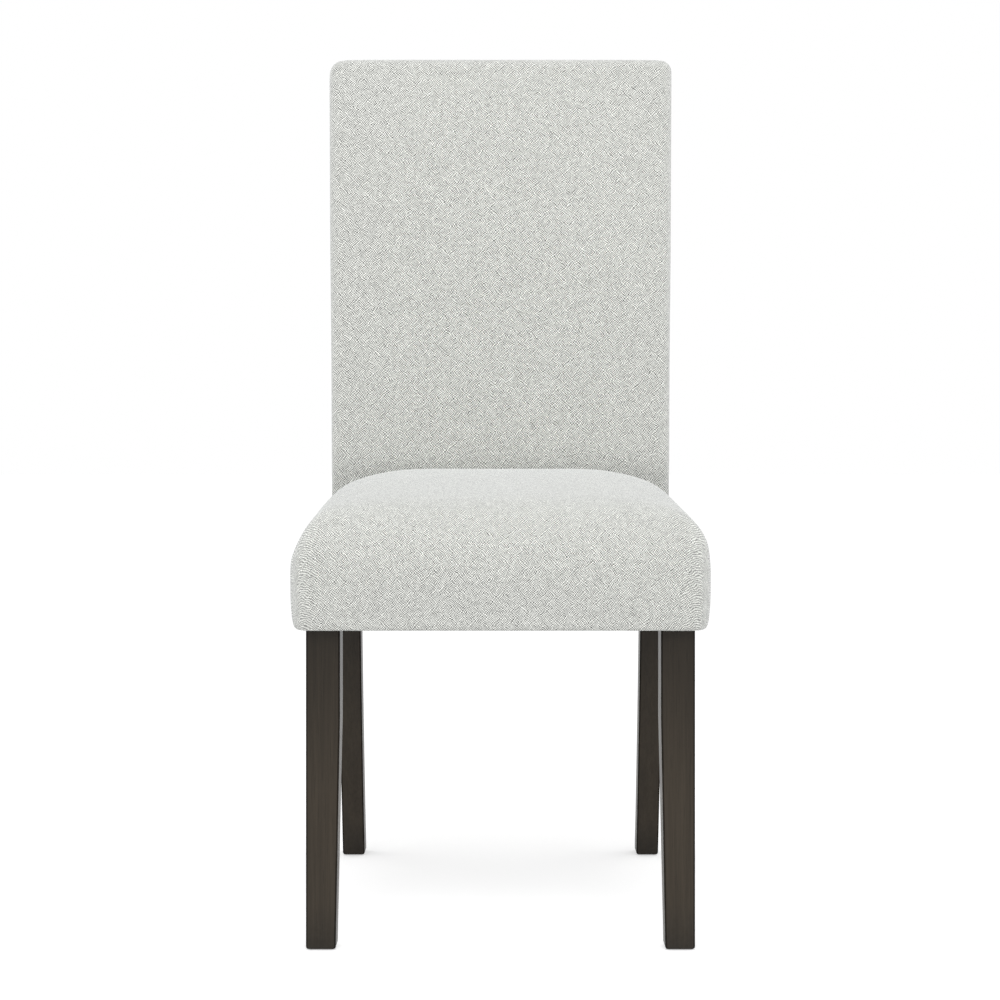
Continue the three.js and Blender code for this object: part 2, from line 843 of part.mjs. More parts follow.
function strap(start, end, crossings) {
  const stations = [start, start + webbingTurnback];
  crossings.forEach(({ centre, room }) => {
    const reach = webbingWidth / 2 + layerGap;
    stations.push(centre - reach - room, centre - reach - room / 2, centre - reach);
    stations.push(centre + reach, centre + reach + room / 2, centre + reach + room);
  });
  stations.push(end - webbingTurnback, end);
  const places = [...new Set(stations)].sort((a, b) => a - b);
  const endHeight = -webbingLift;
  const heightAt = (place) => {
    const atEnd = place <= start + webbingTurnback || place >= end - webbingTurnback;
    return atEnd ? endHeight : weaveAt(place, crossings);
  };
  const half = webbingThickness / 2;
  const under = places.map((place) => [place, heightAt(place) - half]);
  const turned = webbingThickness;
  const over = places.toReversed().map((place) => [place, heightAt(place) + half]);
  const top = [
    [end, endHeight + half + turned], [end - webbingTurnback, endHeight + half + turned],
    ...over.slice(1, -1),
    [start + webbingTurnback, endHeight + half + turned], [start, endHeight + half + turned],
  ];
  const shape = new THREE.Shape([...under, ...top].map(([x, y]) => new THREE.Vector2(x, y)));
  const options = { depth: webbingWidth, bevelEnabled: false };
  return new THREE.ExtrudeGeometry(shape, options).translate(0, 0, -webbingWidth / 2);
}

// Middles of the straps: three run back and three run across.
const runBackX = [-1, 0, 1].map((side) => side * webbingSpreadShare * frontLegInner);
const runAcrossY = acrossPlaceShares.map((share) => between(frontRailRear, rearRailFront, share));
const backRoom = (runBackX[1] - runBackX[0] - webbingWidth) / 2 - layerGap;
const acrossRoom = (runAcrossY[1] - runAcrossY[0] - webbingWidth) / 2 - layerGap;

function runBackStrap(index) {
  const crossings = runAcrossY.map((centre, k) => ({
    centre, over: (index + k) % 2 === 0, room: acrossRoom,
  }));
  const end = rearRailRear - rearRailSetback;
  return strap(frontRailRear - webbingRailHold, end, crossings);
}

function runAcrossStrap(index) {
  const crossings = runBackX.map((centre, k) => ({
    centre, over: (index + k) % 2 !== 0, room: backRoom,
  }));
  const end = Math.min(
    sideRailInnerAt(runAcrossY[index] - webbingWidth / 2),
    sideRailInnerAt(runAcrossY[index] + webbingWidth / 2),
  ) + webbingRailHold;
  return strap(-end, end, crossings);
}

// Strap across the back, tacked to the front faces of the posts
function backStrap(share) {
  const floor = between(lowerRailFloor + lowerRailHeight, topRailFloor, share) - backWebbingWidth / 2;
  const reach = (height) => postOuterAt(height) - railSetback;
  const rear = (height) => postFrontAt(height) - layerGap;
  const face = (height) => rear(height) - webbingThickness;
  return curvedSheet((height) => -reach(height), reach, face, rear, floor, floor + backWebbingWidth);
}

// Covers, wadding and foam

const frameSideGap = layerGap * 2;

// Block that the seat frame fills, which the wadding goes round.
function frameEnvelope(top) {
  const front = frontLegSetback - layerGap;
  const rear = seatDepth + cutOverrun;
  const floor = undersideHeight - cutOverrun;
  const right = [front, frontLegRear, rear].map((y) => [frameOuterAt(y) + frameSideGap, y]);
  const left = right.map(([x, y]) => [-x, y]).reverse();
  return slab([...right, ...left], floor, top - floor);
}

// Opening left in the bottom of the seat cover inside its turned-under hem.
function seatBottomOpening() {
  const frontHalf = seatHalfAt(turnUnder) - turnUnder;
  const rearHalf = seatHalfAt(seatDepth) - turnUnder;
  const rear = seatDepth + cutOverrun;
  return slab([[-frontHalf, turnUnder], [frontHalf, turnUnder], [rearHalf, rear], [-rearHalf, rear]],
    undersideHeight - cutOverrun, cutOverrun + coverThickness * 2);
}

function frontLegWay(side) {
  const near = side * (frontLegInner - layerGap);
  const far = side * (frontLegOuter + layerGap);
  return box(
    at(Math.min(near, far), frontLegSetback - layerGap, undersideHeight - cutOverrun),
    at(Math.max(near, far), frontLegRear + layerGap, railTop),
  );
}

// The rear of the seat cover ends above the rails, which pass on into the posts.
function seatRearWay(top) {
  const reach = postOuter + frameSideGap;
  return box(
    at(-reach, seatDepth - seatCornerRadius, undersideHeight - cutOverrun),
    at(reach, seatDepth + cutOverrun, top),
  );
}

function seatCover() {
  const inner = seatForm(coverThickness, coverThickness, undersideHeight + coverThickness);
  return cut(seatForm(0, 0, undersideHeight), [
    inner, seatBottomOpening(), frontLegWay(1), frontLegWay(-1), seatRearWay(platformTop + layerGap),
  ]);
}

function seatWadding() {
  const floor = undersideHeight + waddingInset;
  const shell = seatForm(waddingInset, waddingInset, floor);
  const foamSpace = seatForm(foamInset - layerGap, foamInset - layerGap, floor);
  const above = box(
    at(-seatFrontWidth, -cutOverrun, platformTop + layerGap / 2),
    at(seatFrontWidth, seatDepth + cutOverrun, overallHeight),
  );
  const foamRoom = geometryOf(solid(foamSpace).intersect(solid(above)));
  return cut(shell, [foamRoom, frameEnvelope(platformTop + layerGap)]);
}

function seatFoam() {
  const body = seatForm(foamInset, foamInset, undersideHeight + foamInset);
  const below = box(
    at(-seatFrontWidth, -cutOverrun, 0),
    at(seatFrontWidth, seatDepth + cutOverrun, platformTop + layerGap),
  );
  return cut(body, [below]);
}

// Platform cloth over the webbing, tacked near the outer edges of the rails
function platformCloth() {
  const front = frontRailFront + platformClothInset;
  const turn = postFrontAt(platformTop) - layerGap - platformClothInset;
  const rear = rearRailRear - platformClothInset;
  const halfAt = (depth) => sideRailOuterAt(depth) - platformClothInset;
  const neck = postInner - layerGap - platformClothInset;
  return slab([
    [-halfAt(front), front], [halfAt(front), front], [halfAt(turn), turn], [neck, turn],
    [neck, rear], [-neck, rear], [-neck, turn], [-halfAt(turn), turn],
  ], platformBottom, clothThickness);
}

// Dust cover under the frame, notched round the legs and the posts
function dustCover() {
  const front = dustCoverInset;
  const halfFront = seatHalfAt(front) - dustCoverInset;
  const legX = frontLegInner - dustCoverLegGap;
  const legY = frontLegRear + dustCoverLegGap;
  const legHalf = seatHalfAt(legY) - dustCoverInset;
  const postY = postFrontAt(undersideHeight - dustCoverThickness - layerGap) - dustCoverLegGap;
  const postX = postOuterAt(undersideHeight) - postWidth - dustCoverLegGap;
  const rear = postRearAt(undersideHeight) - dustCoverInset / 2;
  const rearHalf = Math.min(seatHalfAt(seatDepth) - dustCoverInset, halfFront);
  const halfAtRear = Math.max(rearHalf, postX);
  return slab([
    [-legX, front], [legX, front], [legX, legY], [legHalf, legY], [halfAtRear, postY],
    [postX, postY], [postX, rear], [-postX, rear], [-postX, postY], [-halfAtRear, postY],
    [-legHalf, legY], [-legX, legY],
  ], undersideHeight - layerGap - dustCoverThickness, dustCoverThickness);
}

// The inside of the back starts just above the rails; below that only its sides go on down.
const backFrontFloor = platformTop + layerGap;

function belowBackFront(reach) {
  return box(
    at(-reach, seatDepth - backCrown - cutOverrun, undersideHeight - cutOverrun),
    at(reach, seatDepth + backPadding + postDepth / 2, backFrontFloor),
  );
}

function backCover() {
  const inner = backForm(coverThickness, undersideHeight + coverThickness);
  const opening = (height) => postOuterAt(height) - postWidth - layerGap;
  const rearWindow = curvedSheet(
    (height) => -backHalfAt(height) + backReturn,
    (height) => backHalfAt(height) - backReturn,
    (height) => postRearAt(height) - postDepth / 2,
    (height) => postRearAt(height) + postDepth / 2,
    undersideHeight - cutOverrun,
    postTop,
  );
  const bottomWindow = box(
    at(-opening(undersideHeight), seatDepth - cutOverrun, undersideHeight - cutOverrun),
    at(opening(undersideHeight), overallDepth, undersideHeight + coverThickness * 2),
  );
  const post = postForm(layerGap);
  return cut(backForm(0, undersideHeight), [
    inner, rearWindow, bottomWindow, post, mirrored(post), belowBackFront(postOuter + layerGap),
  ]);
}

// Space inside the wadding of the back: the foam, the posts and what lies between them.
function backCore(floor) {
  const top = postTop + layerGap;
  const side = (height) => postOuterAt(height) + layerGap;
  const front = (height) => backFaceAt(height) + foamInset - layerGap;
  const rear = () => overallDepth + backLean;
  return curvedSheet((height) => -side(height), side, front, rear, floor, top);
}

function backWadding() {
  const shell = backForm(waddingInset, undersideHeight + waddingInset);
  return cut(shell, [
    backCore(undersideHeight - cutOverrun),
    belowBackFront(postOuter + layerGap),
  ]);
}

// Front face of the cloth that spans the frame of the back, in front of its straps.
function backClothFaceAt(height) {
  return postFrontAt(height) - webbingThickness - 2 * layerGap - clothThickness;
}

function backFoam() {
  const reach = (height) => postOuterAt(height) - layerGap;
  const front = (height) => backFaceAt(height) + foamInset;
  const rear = (height) => backClothFaceAt(height) - layerGap;
  return curvedSheet((height) => -reach(height), reach, front, rear, backFrontFloor + layerGap, postTop);
}

function backCloth() {
  const reach = (height) => postOuterAt(height) - railSetback;
  const rear = (height) => backClothFaceAt(height) + clothThickness;
  return curvedSheet((height) => -reach(height), reach, backClothFaceAt, rear, lowerRailFloor, postTop);
}

function outsidePanel() {
  const reach = (height) => backHalfAt(height) - outsidePanelInset;
  const face = (height) => backCoverRearAt(height) + tackStripThickness + 2 * layerGap;
  const rear = (height) => face(height) + outsidePanelThickness;
  return curvedSheet((height) => -reach(height), reach, face, rear, undersideHeight,
    overallHeight - outsidePanelDrop);
}

function outsideBoard() {
  const reach = (height) => backHalfAt(height) - backReturn - layerGap;
  const face = (height) => postRearAt(height) + layerGap;
  const rear = (height) => face(height) + backBoardThickness;
  return curvedSheet((height) => -reach(height), reach, face, rear, railBottom, postTop - layerGap);
}

function tackStrip() {
  const outer = (height) => backHalfAt(height) - outsidePanelInset - tackStripThickness;
  const inner = (height) => outer(height) - tackStripWidth;
  const face = (height) => backCoverRearAt(height) + layerGap;
  const rear = (height) => face(height) + tackStripThickness;
  return curvedSheet(inner, outer, face, rear, undersideHeight,
    overallHeight - outsidePanelDrop - tackStripWidth);
}

// The chair

const chair = new THREE.Group();
const fromFront = new THREE.Group();
fromFront.position.y = -overallDepth / 2;
chair.add(fromFront);

const frameGroup = new THREE.Group();
const seatGroup = new THREE.Group();
const backGroup = new THREE.Group();
fromFront.add(frameGroup, seatGroup, backGroup);

const screwWays = screws.flatMap((screw) => [placedScrew(screw, layerGap), screwWay(screw)]);
const screwHoles = screws.map((screw) => placedScrew(screw, layerGap));
const bothSides = (geometries) => [...geometries, ...geometries.map(mirrored)];

addPair(frameGroup, 'front_leg', cut(frontLegForm(), [
  frontTenon(layerGap),
  sideTenon(frontLegRear + cutOverrun, sideTenonFrontReach, layerGap),
  ...glideSeat(footCentres.front),
]), darkWood);

addPair(frameGroup, 'rear_leg', cut(postForm(), [
  rearTenon(layerGap),
  sideTenon(postFace - cutOverrun, sideTenonRearReach, layerGap),
  backRailTenon(lowerRailFloor, lowerRailHeight, layerGap),
  backRailTenon(middleRailFloor, middleRailHeight, layerGap),
  backRailTenon(topRailFloor, topRailHeight, layerGap),
  ...glideSeat(footCentres.rear),
]), darkWood);

Object.entries(footCentres).forEach(([end, [x, y]]) => {
  [['right', 1], ['left', -1]].forEach(([word, side]) => {
    const glide = addPiece(frameGroup, `${end}_glide_${word}`, glideForm(), nylon);
    glide.position.set(side * x, y, 0);
  });
});

addPiece(frameGroup, 'front_rail', cut(frontRail(), bothSides(screwHoles)), paleWood);
addPiece(frameGroup, 'rear_rail', cut(rearRail(), bothSides(screwHoles)), paleWood);
addPair(frameGroup, 'side_rail', cut(sideRail(), screwHoles), paleWood);
addPair(frameGroup, 'front_corner_block', cut(frontBlock(), screwWays), paleWood);
addPair(frameGroup, 'rear_corner_block', cut(rearBlock(), screwWays), paleWood);
addPiece(frameGroup, 'lower_back_rail', backRail(lowerRailFloor, lowerRailHeight), paleWood);
addPiece(frameGroup, 'middle_back_rail', backRail(middleRailFloor, middleRailHeight), paleWood);
addPiece(frameGroup, 'top_back_rail', backRail(topRailFloor, topRailHeight), paleWood);

screws.forEach((screw) => addPair(frameGroup, screw.name, placedScrew(screw), steel));

runBackX.forEach((x, i) => {
  const piece = addPiece(seatGroup, `seat_strap_back_${i + 1}`, runBackStrap(i), webbing);
  piece.rotation.set(Math.PI / 2, Math.PI / 2, 0);
  piece.position.set(x, 0, webbingMid);
});
runAcrossY.forEach((y, i) => {
  const piece = addPiece(seatGroup, `seat_strap_across_${i + 1}`, runAcrossStrap(i), webbing);
  piece.rotation.x = Math.PI / 2;
  piece.position.set(0, y, webbingMid);
});
addPiece(seatGroup, 'seat_platform_cloth', platformCloth(), webbing);
addPiece(seatGroup, 'seat_foam', seatFoam(), foam);
addPiece(seatGroup, 'seat_wadding', seatWadding(), wadding);
addPiece(seatGroup, 'seat_cover', seatCover(), fabric);
addPiece(seatGroup, 'dust_cover', dustCover(), blackCloth);

backStrapShares.forEach((share, i) => {
  addPiece(backGroup, `back_strap_${i + 1}`, backStrap(share), webbing);
});
addPiece(backGroup, 'back_cloth', backCloth(), webbing);
addPiece(backGroup, 'back_foam', backFoam(), foam);
addPiece(backGroup, 'back_wadding', backWadding(), wadding);
addPiece(backGroup, 'back_cover', backCover(), fabric);
addPiece(backGroup, 'outside_back_board', outsideBoard(), board);
addPair(backGroup, 'tack_strip', tackStrip(), board);
addPiece(backGroup, 'outside_back_panel', outsidePanel(), fabric);

export default chair;
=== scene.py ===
"""Looks of a parsons chair: upholstery, legs, underside, sewing and the studio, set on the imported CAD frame.

Sizes are millimetres until a point is placed. Depth is counted from the front face of the seat towards the back.
"""

import json
import logging
import math
from collections.abc import Callable, Sequence
from dataclasses import dataclass
from enum import Enum
from typing import Any

import bmesh
import bpy
import numpy as np
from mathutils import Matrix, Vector


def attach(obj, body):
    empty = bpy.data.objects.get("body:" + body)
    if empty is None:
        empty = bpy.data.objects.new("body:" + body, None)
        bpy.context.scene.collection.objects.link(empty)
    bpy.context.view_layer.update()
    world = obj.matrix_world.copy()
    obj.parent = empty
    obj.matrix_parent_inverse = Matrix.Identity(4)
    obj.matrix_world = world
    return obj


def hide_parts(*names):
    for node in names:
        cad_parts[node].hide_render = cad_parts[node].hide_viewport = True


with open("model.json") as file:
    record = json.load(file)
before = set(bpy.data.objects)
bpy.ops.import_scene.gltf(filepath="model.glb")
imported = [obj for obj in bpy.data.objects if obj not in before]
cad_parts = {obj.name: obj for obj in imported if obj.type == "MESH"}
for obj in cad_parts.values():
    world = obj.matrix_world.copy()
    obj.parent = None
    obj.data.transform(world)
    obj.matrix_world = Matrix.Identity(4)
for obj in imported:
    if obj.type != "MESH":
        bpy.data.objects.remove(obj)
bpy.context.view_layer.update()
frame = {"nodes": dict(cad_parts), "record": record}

BODY = "root"
SEAT_FRONT = -281.5
METRE = 1000.0

log = logging.getLogger("parsons_chair")

Plan = tuple[float, float]
Colour = tuple[float, float, float]


class Slot(Enum):
    """Material slots of the record that the pieces take their finish from."""

    LEG_WOOD = "leg_wood"
    FRAME_WOOD = "frame_wood"
    COVER = "cover_fabric"
    FOAM = "foam"
    WADDING = "wadding"
    WEBBING = "webbing"
    DUST_CLOTH = "dust_cloth"
    BOARD = "board"
    STEEL = "screw_steel"
    NYLON = "glide_nylon"


class Side(Enum):
    """The two halves of the chair, as the factor that turns the right-hand one into either."""

    RIGHT = 1
    LEFT = -1

    @property
    def word(self) -> str:
        """Gives the word that piece names end with."""
        return self.name.lower()


def between(start: float, end: float, share: float) -> float:
    """Gives the value a share of the way from start to end."""
    return start + (end - start) * share


def place(x: float, depth: float, height: float) -> Vector:
    """Turns a place on the chair in millimetres into a point in metres."""
    return Vector((x / METRE, (depth + SEAT_FRONT) / METRE, height / METRE))


def shown_colour(red: float, green: float, blue: float) -> Colour:
    """Turns a colour as a screen shows it, 0 to 255, into the linear values that shaders read.

    Args:
        red: Red as shown.
        green: Green as shown.
        blue: Blue as shown.

    Returns:
        The three linear values.
    """
    linear = []
    for shown in (red, green, blue):
        level = shown / 255
        linear.append(level / 12.92 if level <= 0.04045 else ((level + 0.055) / 1.055) ** 2.4)
    return linear[0], linear[1], linear[2]


@dataclass(frozen=True)
class ChairLines:
    """The lines that the frame and the upholstery share, as the CAD source gives them."""

    overall_height: float = 1030
    overall_depth: float = 563
    underside: float = 339
    seat_front_width: float = 449.8
    seat_rear_width: float = 422.6
    seat_depth: float = 410
    seat_wall_top: float = 403
    seat_roll_height: float = 57
    seat_roll_reach: float = 42.6
    seat_dome: float = 45.4
    seat_crest_depth: float = 250
    seat_dome_squareness: float = 6.7
    seat_dome_softness: float = 1.42
    back_top_width: float = 442
    back_lean: float = 86
    lean_bend: float = 80
    knee: float = 450
    knee_rear: float = 468
    foot_top: float = 4.8
    foot_power: float = 1.5
    post_depth: float = 36
    post_top_depth: float = 26
    post_inset: float = 6.3
    post_top_inset: float = 16
    post_width: float = 28.3
    cover_over_post: float = 1.9

    def seat_half(self, depth: float) -> float:
        """Gives half the width of the seat at a depth."""
        return between(self.seat_front_width, self.seat_rear_width, depth / self.seat_depth) / 2

    def seat_top(self, x: float, depth: float, inset: float) -> float:
        """Gives the height of the crowned seat.

        Args:
            x: Place across the seat.
            depth: Place behind the front face.
            inset: Distance from the outline of the seat.

        Returns:
            The height of the cover there.
        """
        left = 1 - min(max(inset, 0) / self.seat_roll_reach, 1)
        roll = self.seat_roll_height * math.sqrt(1 - left * left)
        across = max(1 - min(abs(x) / self.seat_half(depth), 1) ** self.seat_dome_squareness, 0)
        along = 1 - (1 - min(depth / self.seat_crest_depth, 1)) ** 2
        return self.seat_wall_top + roll + self.seat_dome * across ** self.seat_dome_softness * along

    def lean(self, height: float) -> float:
        """Gives how far the back leans at a height: bent at first, then straight."""
        rise = max(height - self.knee, 0)
        run = rise * rise / (2 * self.lean_bend) if rise < self.lean_bend else rise - self.lean_bend / 2
        return self.back_lean * run / (self.overall_height - self.knee - self.lean_bend / 2)

    def upper_share(self, height: float) -> float:
        """Gives the share of the way from the knee of the posts to the top."""
        return max(height - self.knee, 0) / (self.overall_height - self.knee)

    def post_rear(self, height: float) -> float:
        """Gives the depth of the rear of the posts, which sweep back to the floor."""
        drop = min(max((self.knee - height) / (self.knee - self.foot_top), 0), 1)
        return self.knee_rear + (self.overall_depth - self.knee_rear) * drop ** self.foot_power + self.lean(height)

    def post_front(self, height: float) -> float:
        """Gives the depth of the front of the posts."""
        return self.post_rear(height) - between(self.post_depth, self.post_top_depth, self.upper_share(height))

    def back_half(self, height: float) -> float:
        """Gives half the width of the back at a height."""
        return between(self.seat_rear_width, self.back_top_width, self.upper_share(height)) / 2

    def post_outer(self, height: float) -> float:
        """Gives how far out the outer face of a post lies."""
        return self.back_half(height) - between(self.post_inset, self.post_top_inset, self.upper_share(height))

    def back_face(self, height: float) -> float:
        """Gives the depth of the front of the back."""
        return self.seat_depth + self.lean(height)

    def cover_rear(self, height: float) -> float:
        """Gives the depth of the cover where it turns behind the posts."""
        return self.post_rear(height) + self.cover_over_post


LINES = ChairLines()


# Shader building


class Wiring:
    """Adds nodes to one shader tree and joins them up."""

    def __init__(self, tree: bpy.types.NodeTree) -> None:
        """Keeps the tree that is being wired."""
        self.tree = tree

    def add(self, kind: str, inputs: dict[Any, Any] | None = None, **settings: Any) -> bpy.types.Node:
        """Adds a node.

        Args:
            kind: Blender's name of the node.
            inputs: What feeds each input, by name or place: a socket to join or a plain value.
            settings: Properties of the node itself.

        Returns:
            The new node.
        """
        node = self.tree.nodes.new(kind)
        for name, value in settings.items():
            setattr(node, name, value)
        for name, value in (inputs or {}).items():
            if isinstance(value, bpy.types.NodeSocket):
                self.tree.links.new(value, node.inputs[name])
            elif isinstance(value, tuple) and len(value) == 3 and node.inputs[name].type == "RGBA":
                node.inputs[name].default_value = (*value, 1.0)
            else:
                node.inputs[name].default_value = value
        return node

    def math(self, operation: str, *values: Any) -> bpy.types.NodeSocket:
        """Adds a Math node and gives its result."""
        return self.add("ShaderNodeMath", dict(enumerate(values)), operation=operation).outputs[0]

    def vector(self, operation: str, *values: Any) -> bpy.types.NodeSocket:
        """Adds a Vector Math node and gives its vector."""
        return self.add("ShaderNodeVectorMath", dict(enumerate(values)), operation=operation).outputs[0]

    def blend(self, factor: Any, first: Any, second: Any, kind: str = "MIX") -> bpy.types.NodeSocket:
        """Mixes two colours.

        Args:
            factor: Share of the second colour.
            first: First colour, or its socket.
            second: Second colour, or its socket.
            kind: Blend type.

        Returns:
            The mixed colour's socket.
        """
        node = self.add("ShaderNodeMix", data_type="RGBA", blend_type=kind, clamp_factor=True)
        for index, value in ((0, factor), (6, first), (7, second)):
            if isinstance(value, bpy.types.NodeSocket):
                self.tree.links.new(value, node.inputs[index])
            else:
                node.inputs[index].default_value = (*value, 1.0) if isinstance(value, tuple) else value
        return node.outputs[2]

    def spread(self, value: bpy.types.NodeSocket, low: float, high: float,
               to_low: float, to_high: float) -> bpy.types.NodeSocket:
        """Maps a range of values onto another and keeps the result within it.

        Args:
            value: What is mapped.
            low: Start of the range it comes from.
            high: End of the range it comes from.
            to_low: Start of the range it goes to.
            to_high: End of the range it goes to.

        Returns:
            The mapped value's socket.
        """
        return self.add("ShaderNodeMapRange", {0: value, 1: low, 2: high, 3: to_low, 4: to_high}).outputs[0]

    def noise(self, vector: Any, scale: float, detail: float = 2.0) -> bpy.types.NodeSocket:
        """Adds a noise and gives its value, 0 to 1."""
        return self.add("ShaderNodeTexNoise", {"Vector": vector, "Scale": scale, "Detail": detail}).outputs[0]


class Effect:
    """A shader effect that several finishes use: one node group with named inputs and outputs."""

    title = "effect"
    inputs: dict[str, float] = {}
    outputs: tuple[str, ...] = ()

    def wire(self, wiring: Wiring, given: dict[str, bpy.types.NodeSocket]) -> dict[str, bpy.types.NodeSocket]:
        """Builds the inside of the group.

        Args:
            wiring: Adds the nodes.
            given: The group's inputs by name.

        Returns:
            What each output gives, by name.
        """
        raise NotImplementedError

    def group(self) -> bpy.types.NodeTree:
        """Builds the group once and gives it back whenever it is asked for.

        Returns:
            The node group.
        """
        known = bpy.data.node_groups.get(self.title)
        if known is not None:
            return known
        tree = bpy.data.node_groups.new(self.title, "ShaderNodeTree")
        tree.interface.new_socket(name="Vector", in_out="INPUT", socket_type="NodeSocketVector")
        for name, value in self.inputs.items():
            socket = tree.interface.new_socket(name=name, in_out="INPUT", socket_type="NodeSocketFloat")
            socket.default_value = value
        for name in self.outputs:
            tree.interface.new_socket(name=name, in_out="OUTPUT", socket_type="NodeSocketFloat")
        entry = tree.nodes.new("NodeGroupInput")
        exit_node = tree.nodes.new("NodeGroupOutput")
        given = {name: entry.outputs[name] for name in ("Vector", *self.inputs)}
        for name, socket in self.wire(Wiring(tree), given).items():
            tree.links.new(socket, exit_node.inputs[name])
        return tree

    def use(self, wiring: Wiring, vector: bpy.types.NodeSocket, **values: float) -> dict[str, bpy.types.NodeSocket]:
        """Places the group in a material.

        Args:
            wiring: The material's wiring.
            vector: Coordinates that the effect follows.
            values: Inputs with this finish's own values, with spaces in a name written as underscores.

        Returns:
            The group's outputs by name.
        """
        node = wiring.add("ShaderNodeGroup", node_tree=self.group())
        wiring.tree.links.new(vector, node.inputs["Vector"])
        for name, value in values.items():
            node.inputs[name.replace("_", " ")].default_value = value
        return {name: node.outputs[name] for name in self.outputs}


class Weave(Effect):
    """Plain weave: each crossing shows the warp or the weft, whose tone changes along its length."""

    title = "plain_weave"
    inputs = {"Pitch": 0.0016, "Wander": 0.5, "Drift Size": 0.012, "Slub": 3.0}
    outputs = ("Tone", "Fleck", "Over", "Height")

    def wire(self, wiring: Wiring, given: dict[str, bpy.types.NodeSocket]) -> dict[str, bpy.types.NodeSocket]:
        """Builds the crossings.

        Args:
            wiring: Adds the nodes.
            given: The group's inputs by name.

        Returns:
            The tone of the yarn that shows, that of each crossing alone, which yarn is over, and the height of the
            cloth, each 0 to 1.
        """
        bends = wiring.math("DIVIDE", 1.0, given["Drift Size"])
        drift = wiring.add("ShaderNodeTexNoise", {"Vector": given["Vector"], "Scale": bends, "Detail": 1.0}).outputs[1]
        drift = wiring.vector("SUBTRACT", drift, (0.5, 0.5, 0.5))
        drift = wiring.add("ShaderNodeVectorMath", {0: drift, "Scale": given["Wander"]}, operation="SCALE").outputs[0]
        per_metre = wiring.math("DIVIDE", 1.0, given["Pitch"])
        cells = wiring.add("ShaderNodeVectorMath", {0: given["Vector"], "Scale": per_metre}, operation="SCALE").outputs[0]
        parts = wiring.add("ShaderNodeSeparateXYZ", {0: wiring.vector("ADD", cells, drift)})
        run = [wiring.math("FLOOR", parts.outputs[k]) for k in range(2)]
        part = [wiring.math("FRACT", parts.outputs[k]) for k in range(2)]
        odd = wiring.math("FLOORED_MODULO", wiring.math("ADD", run[0], run[1]), 2.0)
        yarns = []
        for along, across, seed in ((1, 0, 3.0), (0, 1, 11.0)):
            start = wiring.add("ShaderNodeTexWhiteNoise", {"W": wiring.math("ADD", run[across], seed)},
                               noise_dimensions="1D").outputs[0]
            slub = wiring.math("DIVIDE", run[along], given["Slub"])
            stretch = wiring.math("FLOOR", wiring.math("ADD", slub, wiring.math("MULTIPLY", start, 7.0)))
            spot = wiring.add("ShaderNodeCombineXYZ", {0: run[across], 1: stretch, 2: seed}).outputs[0]
            yarns.append(wiring.add("ShaderNodeTexWhiteNoise", {"Vector": spot}, noise_dimensions="3D").outputs[0])
        shown = wiring.add("ShaderNodeMix", {0: odd, 2: yarns[0], 3: yarns[1]}, data_type="FLOAT").outputs[0]
        crossing = wiring.add("ShaderNodeCombineXYZ", {0: run[0], 1: run[1], 2: 5.0}).outputs[0]
        fleck = wiring.add("ShaderNodeTexWhiteNoise", {"Vector": crossing}, noise_dimensions="3D").outputs[0]
        crest = [wiring.math("SINE", wiring.math("MULTIPLY", edge, math.pi)) for edge in part]
        width = wiring.add("ShaderNodeMix", {0: odd, 2: crest[0], 3: crest[1]}, data_type="FLOAT").outputs[0]
        length = wiring.add("ShaderNodeMix", {0: odd, 2: crest[1], 3: crest[0]}, data_type="FLOAT").outputs[0]
        height = wiring.math("MULTIPLY", wiring.math("SQRT", width), wiring.math("POWER", length, 0.25))
        return {"Tone": shown, "Fleck": fleck, "Over": odd, "Height": height}


class Grain(Effect):
    """Wood grain along the height of a piece: fibres, broader figure and fine open pores."""

    title = "wood_grain"
    inputs = {"Fibre Width": 0.0011, "Fibre Length": 0.05}
    outputs = ("Fibre", "Figure", "Pores")

    def wire(self, wiring: Wiring, given: dict[str, bpy.types.NodeSocket]) -> dict[str, bpy.types.NodeSocket]:
        """Builds the grain.

        Args:
            wiring: Adds the nodes.
            given: The group's inputs by name.

        Returns:
            The fibres, the broad figure and the pores, each 0 to 1.
        """
        parts = wiring.add("ShaderNodeSeparateXYZ", {0: given["Vector"]})
        thin = [wiring.math("DIVIDE", parts.outputs[k], given["Fibre Width"]) for k in range(2)]
        long = wiring.math("DIVIDE", parts.outputs[2], given["Fibre Length"])
        spot = wiring.add("ShaderNodeCombineXYZ", {0: thin[0], 1: thin[1], 2: long}).outputs[0]
        fibre = wiring.noise(spot, 0.5, 3.0)
        figure = wiring.noise(spot, 0.11, 2.0)
        pores = wiring.spread(wiring.noise(spot, 1.4, 1.0), 0.62, 0.72, 0.0, 1.0)
        return {"Fibre": fibre, "Figure": figure, "Pores": pores}


